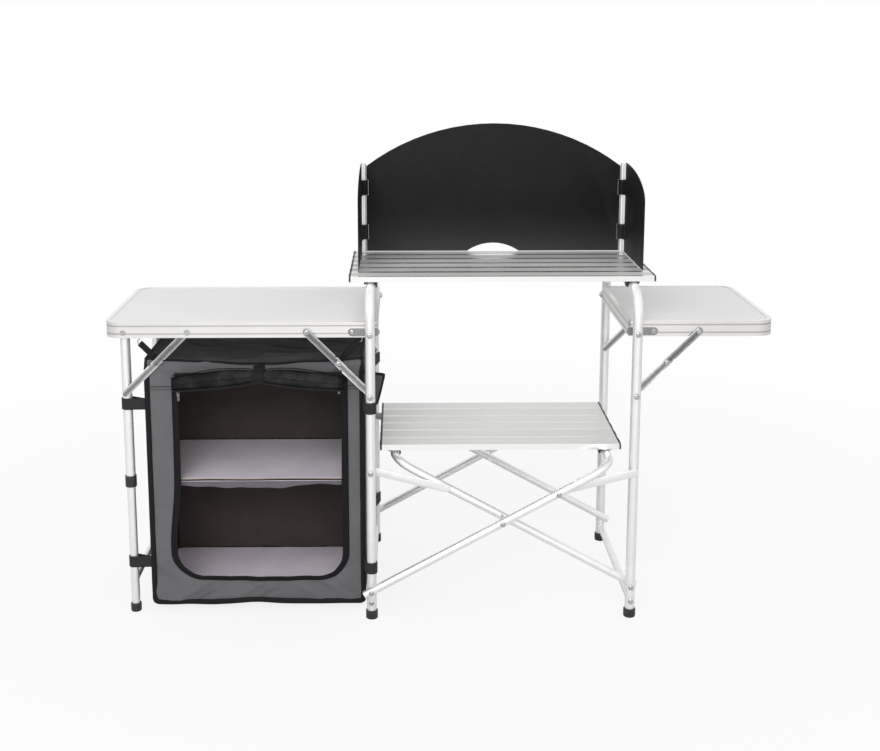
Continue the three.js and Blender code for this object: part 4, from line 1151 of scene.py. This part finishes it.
class KITCHEN_OT_cupboard_trim(bpy.types.Operator):
    """Bind the cupboard's edges and sew in the zip"""

    bl_idname = "kitchen.cupboard_trim"
    bl_label = "Cupboard binding and zip"

    def execute(self, context):
        looks = context.scene.kitchen_cloth
        black = cloth_finish("tape_black")
        made = []
        for name, depth in (("front", FRONT + 0.001), ("back", BACK - 0.001)):
            outline = front_outline(420)
            path = []
            for x, z in outline:
                wave = ripple((x, z, depth), 0.07, 41) * 0.0018
                path.append(Vector((x, depth + wave, z + wave)))
            section = oval(0.0075, looks.binding_width, 14, looks.binding_width * 0.22)

            def inward(i, path=path):
                return Vector((MIDDLE - path[i].x, 0, (BOTTOM + TOP) / 2 - path[i].z))

            def thin_at_top(i, path=path):
                # the roof turns over the front there
                high = (path[i].z - (TOP - 0.03)) / 0.018
                return 1.0 - 0.55 * min(1.0, max(0.0, high))

            points, faces, cuts = sweep(path, section, inward, closed=True,
                                        scale=thin_at_top if name == "front" else None)
            made.append(make_piece(f"cupboard_binding_{name}", points, faces, cuts, black))
        for name, x, z in (("low_left", LEFT, BOTTOM), ("low_right", RIGHT, BOTTOM),
                           ("high_left", LEFT, TOP), ("high_right", RIGHT, TOP)):
            toward = Vector((MIDDLE - x, 0, (BOTTOM + TOP) / 2 - z))
            edge_x = x + math.copysign(0.0025, toward.x)
            edge_z = z + math.copysign(0.0035, toward.z)
            path = []
            for k in range(41):
                y = FRONT + 0.004 + (DEPTH - 0.008) * k / 40
                path.append(Vector((edge_x + ripple((x, y, z), 0.06, 43) * 0.0008, y, edge_z)))
            points, faces, cuts = sweep(path, oval(0.0085, 0.0085, 12),
                                        lambda i, toward=toward: toward)
            made.append(make_piece(f"cupboard_binding_{name}", points, faces, cuts, black))

        # the zip runs from the upper left down, along the bottom and up to the upper right
        steps = 260
        start = math.atan2(DOOR_HIGH - 0.01 - DOOR_CENTRE.y, DOOR_LEFT - DOOR_CENTRE.x)
        end = start + 2 * math.pi - 2 * (start - math.pi / 2)
        path, toward = [], []
        for k in range(steps):
            angle = start + (end - start) * k / (steps - 1)
            x, z = door_point((math.cos(angle), math.sin(angle)))
            path.append(Vector((x, front_depth(x, z) - 0.0018, z)))
            toward.append(Vector((x - DOOR_CENTRE.x, 0, z - DOOR_CENTRE.y)))
        width = looks.zip_width

        def slim(i):
            # more of the tape is folded under along the bottom
            return 0.66 + 0.34 * min(1.0, max(0.0, (path[i].z - DOOR_LOW) / 0.05))

        points, faces, cuts = sweep(path, tape(width, 0.0016), facing_front, scale=slim)
        made.append(make_piece("cupboard_zip_tape", points, faces, cuts,
                               cloth_finish("zip_black")))
        lip = [spot + Vector((0, 0.0004, 0)) - out.normalized() * width * 0.42 * slim(i)
               for i, (spot, out) in enumerate(zip(path, toward))]
        points, faces, cuts = sweep(lip, oval(0.0034, 0.0034, 10), facing_front)
        made.append(make_piece("cupboard_door_piping", points, faces, cuts, black))
        crush(*made)
        return {"FINISHED"}


class KITCHEN_OT_cupboard_door(bpy.types.Operator):
    """Roll up the net door and tie it"""

    bl_idname = "kitchen.cupboard_door"
    bl_label = "Rolled net door"

    def execute(self, context):
        turns = context.scene.kitchen_cloth.roll_turns
        black = cloth_finish("tape_black")
        reach = (DOOR_RIGHT - DOOR_LEFT) / 2 - 0.002
        middle = (DOOR_LEFT + DOOR_RIGHT) / 2

        def radius(share):
            lobes = math.sin(2 * math.pi * share) ** 2
            tie = math.exp(-(((share - 0.5) / 0.055) ** 2))
            return 0.0165 + 0.0036 * lobes - 0.0040 * tie

        def rise(share):
            # the tie pulls the roll up in the middle
            return ROLL_Z - 0.009 + 0.015 * math.sin(math.pi * share) ** 1.3

        def roll(u, v):
            x = middle - reach + 2 * reach * u
            angle = 2 * math.pi * turns * v
            size = ROLL_CORE + (radius(u) - ROLL_CORE) * v
            soft = 1 + 0.07 * ripple((x * 2, math.cos(angle), math.sin(angle)), 0.6, 51)
            return Vector((
                x,
                ROLL_Y - math.cos(angle) * size * soft,
                rise(u) + math.sin(angle) * size * soft * 0.96,
            ))

        across, rows = 90, int(turns * 26)
        points, faces, _ = sheet_grid(across, rows, roll)
        # the holes keep their size on the flat cut, whatever the turn's own radius
        cuts = [(point.x, 2 * math.pi * turns * (index // across) / (rows - 1) * ROLL_RADIUS)
                for index, point in enumerate(points)]
        door = make_piece("cupboard_net_door", points, faces, cuts, cloth_finish("net_black"))
        thicken(door, 0.0005, 0, 0.0)
        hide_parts("cupboard_rolled_door")

        hems = []
        for label, angle in (("upper", 1.75), ("lower", -0.95)):
            out = Vector((0, -math.cos(angle), math.sin(angle)))
            path = []
            for k in range(61):
                share = k / 60
                x = middle - reach - 0.002 + 2 * (reach + 0.002) * share
                wave = ripple((x, angle, 0), 0.05, 53) * 0.0012
                centre = Vector((x, ROLL_Y, rise(share)))
                path.append(centre + out * (radius(share) * 1.02 + 0.0014 + wave))
            points, faces, cuts = sweep(path, tape(0.011, 0.0016), lambda i, out=out: out)
            hems.append(make_piece(f"cupboard_door_hem_{label}", points, faces, cuts, black))

        heart = Vector((middle, ROLL_Y, rise(0.5)))
        ring = []
        for k in range(48):
            angle = 2 * math.pi * k / 48
            away = Vector((0, -math.cos(angle), math.sin(angle)))
            ring.append(heart + away * (radius(0.5) + 0.0022))
        points, faces, cuts = sweep(ring, tape(0.025, 0.0018), lambda i: ring[i] - heart, closed=True)
        tie = make_piece("cupboard_door_tie", points, faces, cuts, black)
        tail = smooth_path([
            Vector((middle + 0.002, ROLL_Y + 0.014, ROLL_Z + 0.012)),
            Vector((middle + 0.001, ROLL_Y + 0.019, ROLL_Z + 0.020)),
            Vector((middle, FRONT - 0.002, ROLL_Z + 0.028)),
        ])
        points, faces, cuts = sweep(tail, tape(0.025, 0.0016), lambda i: Vector((0, -1, 0.6)))
        root = make_piece("cupboard_door_tie_root", points, faces, cuts, black)
        pulls = [self.zip_pull(*pull) for pull in ZIP_PULLS]
        crush(door, tie, root, *hems, *pulls)
        return {"FINISHED"}

    @staticmethod
    def zip_pull(side, x, z):
        """A zip slider with its pull tab, both small and rounded."""
        y = front_depth(x, z) - 0.0045
        points, faces, cuts = [], [], []

        def add(path, section, normal, scale=None):
            start = len(points)
            more, quads, flat = sweep(path, section, normal, scale=scale)
            points.extend(more)
            cuts.extend(flat)
            faces.extend(tuple(index + start for index in face) for face in quads)

        widths = (0.35, 0.8, 1.0, 1.0, 0.95, 0.85, 0.75, 0.7, 0.65, 0.55, 0.3)
        slider = [Vector((x, y, z + 0.007 - 0.0014 * k)) for k in range(len(widths))]
        add(slider, oval(0.009, 0.005, 12), facing_front, lambda i: widths[i])
        tab = smooth_path([
            Vector((x, y - 0.003, z + 0.003)),
            Vector((x + 0.001, y - 0.005, z - 0.004)),
            Vector((x + 0.0015, y - 0.004, z - 0.014)),
        ], 6)
        add(tab, tape(0.0065, 0.0014), facing_front)
        return make_piece(f"cupboard_zip_pull_{side}", points, faces, cuts,
                          cloth_finish("steel_dark"))


class KITCHEN_OT_cupboard_boards(bpy.types.Operator):
    """Make the shelf and the base board in their coated cloth"""

    bl_idname = "kitchen.cupboard_boards"
    bl_label = "Cupboard shelf and base"

    def execute(self, context):
        lilac = cloth_finish("cloth_lilac")
        black = cloth_finish("tape_black")
        x0, x1, y0, y1 = LEFT + BOARD_GAP, RIGHT - BOARD_GAP, BOARD_FRONT, BACK - BOARD_GAP
        corners = [Vector(corner) for corner in ((x0, y0), (x1, y0), (x1, y1), (x0, y1))]
        made = []
        for name, top, node in (
            ("shelf", SHELF_TOP, "cupboard_upper_shelf"),
            ("base", BASE_TOP, "cupboard_base_board"),
        ):
            piece = self.board(f"cupboard_{name}_cloth", x0, x1, y0, y1, top, lilac)
            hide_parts(node)
            made.append(piece)
            path = []
            for start, end in zip(corners, corners[1:] + corners[:1]):
                along = (end - start).normalized()
                start, end = start + along * BOARD_CORNER, end - along * BOARD_CORNER
                for k in range(26):
                    spot = start.lerp(end, k / 25)
                    lift = ripple((spot.x, spot.y, top), 0.09, 61) * 0.0006
                    path.append(Vector((spot.x, spot.y, top - 0.0015 + lift)))
            points, faces, cuts = sweep(path, oval(0.0044, 0.0044, 10), self.upward, closed=True)
            made.append(make_piece(f"cupboard_{name}_piping", points, faces, cuts, black))

        left, right = x0 + 0.001, x1 - 0.001

        def valance(u, v):
            x = left + (right - left) * u
            drop = 0.010 + 0.0085 * math.sin(math.pi * min(1.0, u * 1.1)) ** 1.5
            drop += 0.0009 * math.sin(7.3 * math.pi * u) + 0.0034 * ripple((x, 0, 0), 0.065, 63)
            wave = 0.0022 * math.sin(15 * math.pi * u + 0.8) * v + 0.002 * ripple((x, v, 0), 0.03, 64) * v
            return Vector((x, BOARD_FRONT + 0.0036 + wave, SHELF_TOP - 0.004 - drop * v))

        trim = []
        for k in range(61):
            x = left + 0.006 + (right - left - 0.012) * k / 60
            trim.append(Vector((x, BOARD_FRONT - 0.0006, SHELF_TOP - 0.0004)))
        points, faces, cuts = sweep(trim, oval(0.0024, 0.0024, 8), self.upward)
        made.append(make_piece("cupboard_shelf_trim", points, faces, cuts,
                               cloth_finish("piping_tan")))
        points, faces, cuts = sheet_grid(180, 9, valance)
        hang = make_piece("cupboard_shelf_valance", points, faces, cuts,
                          cloth_finish("cloth_valance"))
        thicken(hang, 0.0007, 0, 0.0)
        made.append(hang)
        crush(*made)
        return {"FINISHED"}

    @staticmethod
    def upward(index):
        """The outer side of piping that lies flat, the same at each point of its path."""
        return Vector((0, 0, 1))

    @staticmethod
    def board(name, x0, x1, y0, y1, top, material):
        """A thin board under cloth: soft rounded rim, a slightly uneven top."""
        across, along = 60, 44
        rim = BOARD_THICK / 2

        def spot(u, v, face):
            x, y = x0 + (x1 - x0) * u, y0 + (y1 - y0) * v
            near = min(x - x0, x1 - x, y - y0, y1 - y)
            round_off = rim - math.sqrt(max(0.0, rim * rim - (rim - min(near, rim)) ** 2))
            uneven = ripple((x, y, top), 0.07, 66) * 0.0006
            height = top + uneven - round_off if face > 0 else top - BOARD_THICK + round_off
            return Vector((x, y, height))

        def bunch(k, count):
            # points gather near the rim
            share = k / (count - 1)
            edge = 0.004
            if k == 0 or k == count - 1:
                return share
            if k <= 3:
                return edge * k / 3 * 0.6
            if k >= count - 4:
                return 1 - edge * (count - 1 - k) / 3 * 0.6
            return edge + (1 - 2 * edge) * (k - 4) / (count - 9)

        points, cuts, faces = [], [], []
        for face in (1, -1):
            for j in range(along):
                for i in range(across):
                    point = spot(bunch(i, across), bunch(j, along), face)
                    points.append(point)
                    cuts.append((point.x, point.y))
        size = across * along
        for j in range(along - 1):
            for i in range(across - 1):
                first = j * across + i
                quad = (first, first + 1, first + across + 1, first + across)
                faces.append(quad)
                faces.append(tuple(index + size for index in reversed(quad)))
        ring = list(range(across))
        ring += [j * across + across - 1 for j in range(1, along)]
        ring += [(along - 1) * across + i for i in range(across - 2, -1, -1)]
        ring += [j * across for j in range(along - 2, 0, -1)]
        for a, b in zip(ring, ring[1:] + ring[:1]):
            faces.append((b, a, a + size, b + size))
        return make_piece(name, points, faces, cuts, material)


class KITCHEN_OT_cupboard_straps(bpy.types.Operator):
    """Strap the cupboard to the legs and hook it under the table"""

    bl_idname = "kitchen.cupboard_straps"
    bl_label = "Cupboard straps and hooks"

    def execute(self, context):
        width = context.scene.kitchen_cloth.strap_width
        black = cloth_finish("tape_black")
        grey = cloth_finish("strap_webbing")
        made = []
        for leg_name, (x, y, high, low) in (("inner", INNER_LEG), ("outer", OUTER_LEG)):
            corner_x = RIGHT if leg_name == "inner" else LEFT
            for side, end in ((-1, "front"), (1, "rear")):
                corner_y = FRONT + 0.004 if side < 0 else BACK - 0.004
                for level, z, tube in (("high", STRAP_HIGH, high), ("low", STRAP_LOW, low)):
                    centre = Vector((x, side * y))
                    corner = Vector((corner_x, corner_y))
                    path = self.loop(centre, tube + 0.0014, corner)
                    # a strap hangs lower, the further it is from its leg
                    droop = 0.04 if leg_name == "outer" else 0.04 / 3
                    spots = [Vector((p.x, p.y, z + width / 2 - droop * (p - centre).length))
                             for p in path]
                    points, faces, cuts = sweep(
                        spots, tape(width, 0.0018), lambda i, path=path: self.outward(path, i))
                    strap = make_piece(f"cupboard_strap_{leg_name}_{end}_{level}",
                                       points, faces, cuts, grey)
                    # only the high straps are given their own mesh
                    if level == "high":
                        made.append(strap)

        steel = cloth_finish("steel_small")
        for name, top, foot in TOP_STRAPS:
            top, foot = Vector(top), Vector(foot)
            bend = top.lerp(foot, 0.55) + Vector((0, -0.002, 0.002))
            path = smooth_path([top, bend, foot], 10)
            points, faces, cuts = sweep(path, tape(0.014, 0.0016), lambda i: Vector((0, -1, 0.25)))
            made.append(make_piece(f"cupboard_strap_top_{name}", points, faces, cuts, black))
            away = -1 if "left" in name else 1
            hook = smooth_path([top + Vector((away * x, y, z)) for x, y, z in HOOK_WIRE], 7)
            points, faces, cuts = sweep(hook, oval(0.0022, 0.0022, 8), lambda i: Vector((0.2, -1, 0.1)))
            made.append(make_piece(f"cupboard_hook_{name}", points, faces, cuts, steel))

        def flap(u, v):
            length = 0.020 + 0.018 * (1 - v) ** 0.8
            x = RIGHT + 0.002 + (0.006 + length) * u
            z = FLAP_FOOT + FLAP_TALL * (1 - v) - 0.008 * u * (1 - v) - 0.004 * u * v
            y = FRONT - 0.001 - 0.006 * math.sin(math.pi * u) * (0.4 + 0.6 * v) + 0.004 * u
            return Vector((x, y, z))

        points, faces, cuts = sheet_grid(22, 26, flap)
        tab = make_piece("cupboard_side_flap", points, faces, cuts,
                         cloth_finish("cloth_flap_painted_shade"))
        thicken(tab, 0.0014, 0, 0.0)
        edge = [flap(k / 14, 0) for k in range(15)] + [flap(1, k / 20) for k in range(1, 21)]
        points, faces, cuts = sweep(edge, oval(0.0075, 0.003, 10), facing_front)
        trim = make_piece("cupboard_side_flap_edge", points, faces, cuts, black)
        crush(*made, tab, trim)
        return {"FINISHED"}

    @staticmethod
    def loop(centre, radius, corner):
        """A strap in plan: from the corner round the leg and back, as an open path."""
        away = corner - centre
        base = math.atan2(away.y, away.x)
        opening = math.acos(min(1.0, radius / away.length))
        first, last = base + opening, base + 2 * math.pi - opening
        turn = []
        for k in range(33):
            angle = first + (last - first) * k / 32
            turn.append(centre + Vector((math.cos(angle), math.sin(angle))) * radius)
        there = [corner.lerp(turn[0], k / 8) for k in range(8)]
        back = [turn[-1].lerp(corner, k / 8) for k in range(1, 9)]
        return [*there, *turn, *back]

    @staticmethod
    def outward(path, i):
        """The strap's outer side at a point of its path in plan."""
        before, after = path[max(i - 1, 0)], path[min(i + 1, len(path) - 1)]
        along = (after - before).normalized()
        return Vector((-along.y, along.x, 0))


# Stage


class KITCHEN_OT_stage(bpy.types.Operator):
    """Set up the floor, the lamps and the camera"""

    bl_idname = "kitchen.stage"
    bl_label = "Stage, lamps and camera"

    def execute(self, context):
        looks = context.scene.kitchen_stage
        self.floor(tuple(looks.floor))
        self.world(looks.sky)
        self.lamp("key_lamp", (-1.6, -3.4, 3.6), (0.0, 0.0, 0.55), (2.6, 1.8), looks.key)
        self.lamp("front_lamp", (-0.3, -4.4, 2.5), (-0.2, 0.0, 0.40), (2.8, 1.0), looks.front)
        data = bpy.data.cameras.new("photo_camera")
        data.sensor_fit = "HORIZONTAL"
        data.sensor_width = 36
        data.lens = looks.lens
        data.shift_x, data.shift_y = CAMERA_SHIFT
        camera = bpy.data.objects.new("photo_camera", data)
        context.scene.collection.objects.link(camera)
        camera.location = looks.camera_place
        camera.rotation_euler = (math.pi / 2 - looks.camera_pitch, 0, looks.camera_yaw)
        context.scene.camera = camera
        context.scene.view_settings.view_transform = "Standard"
        return {"FINISHED"}

    @staticmethod
    def lamp(name, place, aim, size, power):
        """A large soft rectangle of light that faces a point of the object."""
        data = bpy.data.lights.new(name, "AREA")
        data.shape = "RECTANGLE"
        data.size, data.size_y = size
        data.energy = power
        lamp = bpy.data.objects.new(name, data)
        bpy.context.scene.collection.objects.link(lamp)
        lamp.location = place
        lamp.rotation_euler = (Vector(aim) - Vector(place)).to_track_quat("-Z", "Y").to_euler()

    @staticmethod
    def world(strength):
        """Even soft light; the camera, and what it sees in metal, meets a white room."""
        world = bpy.data.worlds.new("studio")
        bpy.context.scene.world = world
        world.use_nodes = True
        tree = world.node_tree
        tree.nodes.clear()
        output = tree.nodes.new("ShaderNodeOutputWorld")
        mix = tree.nodes.new("ShaderNodeMixShader")
        soft = tree.nodes.new("ShaderNodeBackground")
        soft.inputs["Strength"].default_value = strength
        white = tree.nodes.new("ShaderNodeBackground")
        white.inputs["Strength"].default_value = 1.0
        for background in (soft, white):
            background.inputs["Color"].default_value = (1, 1, 1, 1)
        rays = tree.nodes.new("ShaderNodeLightPath")
        share = rays.outputs["Is Camera Ray"]
        for kind in ("Is Glossy Ray", "Is Transmission Ray"):
            either = tree.nodes.new("ShaderNodeMath")
            either.operation = "MAXIMUM"
            tree.links.new(share, either.inputs[0])
            tree.links.new(rays.outputs[kind], either.inputs[1])
            share = either.outputs[0]
        tree.links.new(share, mix.inputs[0])
        tree.links.new(soft.outputs[0], mix.inputs[1])
        tree.links.new(white.outputs[0], mix.inputs[2])
        tree.links.new(mix.outputs[0], output.inputs["Surface"])

    @staticmethod
    def floor(colour):
        """A pale floor that keeps the shadow near the object and fades to white far from it."""
        rings, sides = FLOOR_RINGS, FLOOR_SIDES
        points = [(0.0, 0.0, 0.0)]
        faces = []
        for ring in range(1, rings + 1):
            size = FLOOR_REACH * (ring / rings) ** 2
            for k in range(sides):
                angle = 2 * math.pi * k / sides
                points.append((size * math.cos(angle), size * math.sin(angle), 0.0))
        for k in range(sides):
            faces.append((0, 1 + k, 1 + (k + 1) % sides))
        for ring in range(rings - 1):
            for k in range(sides):
                a, b = 1 + ring * sides + k, 1 + ring * sides + (k + 1) % sides
                faces.append((a, a + sides, b + sides, b))
        mesh = bpy.data.meshes.new("studio_floor")
        mesh.from_pydata(points, [], faces)
        floor = bpy.data.objects.new("studio_floor", mesh)
        bpy.context.scene.collection.objects.link(floor)
        finish = Finish("floor_paper", Roughness=0.95, Specular_IOR_Level=0.0)
        grain = finish.clouds(finish.place, 60.0, 4.0)
        finish.colour(finish.blend(grain, shade(colour, 0.985), shade(colour, 1.01)))
        nodes, links = finish.nodes, finish.links
        rays = nodes.new("ShaderNodeLightPath")
        length = nodes.new("ShaderNodeVectorMath")
        length.operation = "LENGTH"
        links.new(finish.place, length.inputs[0])
        far = finish.stretch(length.outputs["Value"], 0.7, 2.6, 0.84, 1.0)
        share = finish.calc("MULTIPLY", far, rays.outputs["Is Camera Ray"])
        glow = nodes.new("ShaderNodeEmission")
        glow.inputs["Color"].default_value = (1, 1, 1, 1)
        glow.inputs["Strength"].default_value = 1.0
        mix = nodes.new("ShaderNodeMixShader")
        output = nodes["Material Output"]
        links.new(share, mix.inputs[0])
        links.new(finish.shader.outputs[0], mix.inputs[1])
        links.new(glow.outputs[0], mix.inputs[2])
        links.new(mix.outputs[0], output.inputs["Surface"])
        mesh.materials.append(finish.material)


# Panel and registration

OPERATORS = (
    KITCHEN_OT_tubes,
    KITCHEN_OT_decks,
    KITCHEN_OT_tables,
    KITCHEN_OT_stays,
    KITCHEN_OT_rivets,
    KITCHEN_OT_mouldings,
    KITCHEN_OT_windshield,
    KITCHEN_OT_cupboard_front,
    KITCHEN_OT_cupboard_walls,
    KITCHEN_OT_cupboard_trim,
    KITCHEN_OT_cupboard_door,
    KITCHEN_OT_cupboard_boards,
    KITCHEN_OT_cupboard_straps,
    KITCHEN_OT_stage,
)


class KITCHEN_PT_panel(bpy.types.Panel):
    """The steps that dress the camping kitchen"""

    bl_idname = "KITCHEN_PT_panel"
    bl_label = "Camping Kitchen"
    bl_space_type = "VIEW_3D"
    bl_region_type = "UI"
    bl_category = "Kitchen"

    def draw(self, context):
        column = self.layout.column(align=True)
        for operator in OPERATORS:
            column.operator(operator.bl_idname)


PROPERTIES = (
    ("kitchen_finish", KitchenFinishProperties),
    ("kitchen_cloth", KitchenClothProperties),
    ("kitchen_stage", KitchenStageProperties),
)


def register():
    for name, group in PROPERTIES:
        bpy.utils.register_class(group)
        setattr(bpy.types.Scene, name, bpy.props.PointerProperty(type=group))
    for operator in OPERATORS:
        bpy.utils.register_class(operator)
    bpy.utils.register_class(KITCHEN_PT_panel)


def unregister():
    bpy.utils.unregister_class(KITCHEN_PT_panel)
    for operator in reversed(OPERATORS):
        bpy.utils.unregister_class(operator)
    for name, group in reversed(PROPERTIES):
        delattr(bpy.types.Scene, name)
        bpy.utils.unregister_class(group)


def main():
    """Registers the classes and dresses the kitchen step by step."""
    register()
    for operator in OPERATORS:
        group, name = operator.bl_idname.split(".")
        getattr(getattr(bpy.ops, group), name)()
    bpy.context.view_layer.update()


if __name__ == "__main__":
    main()
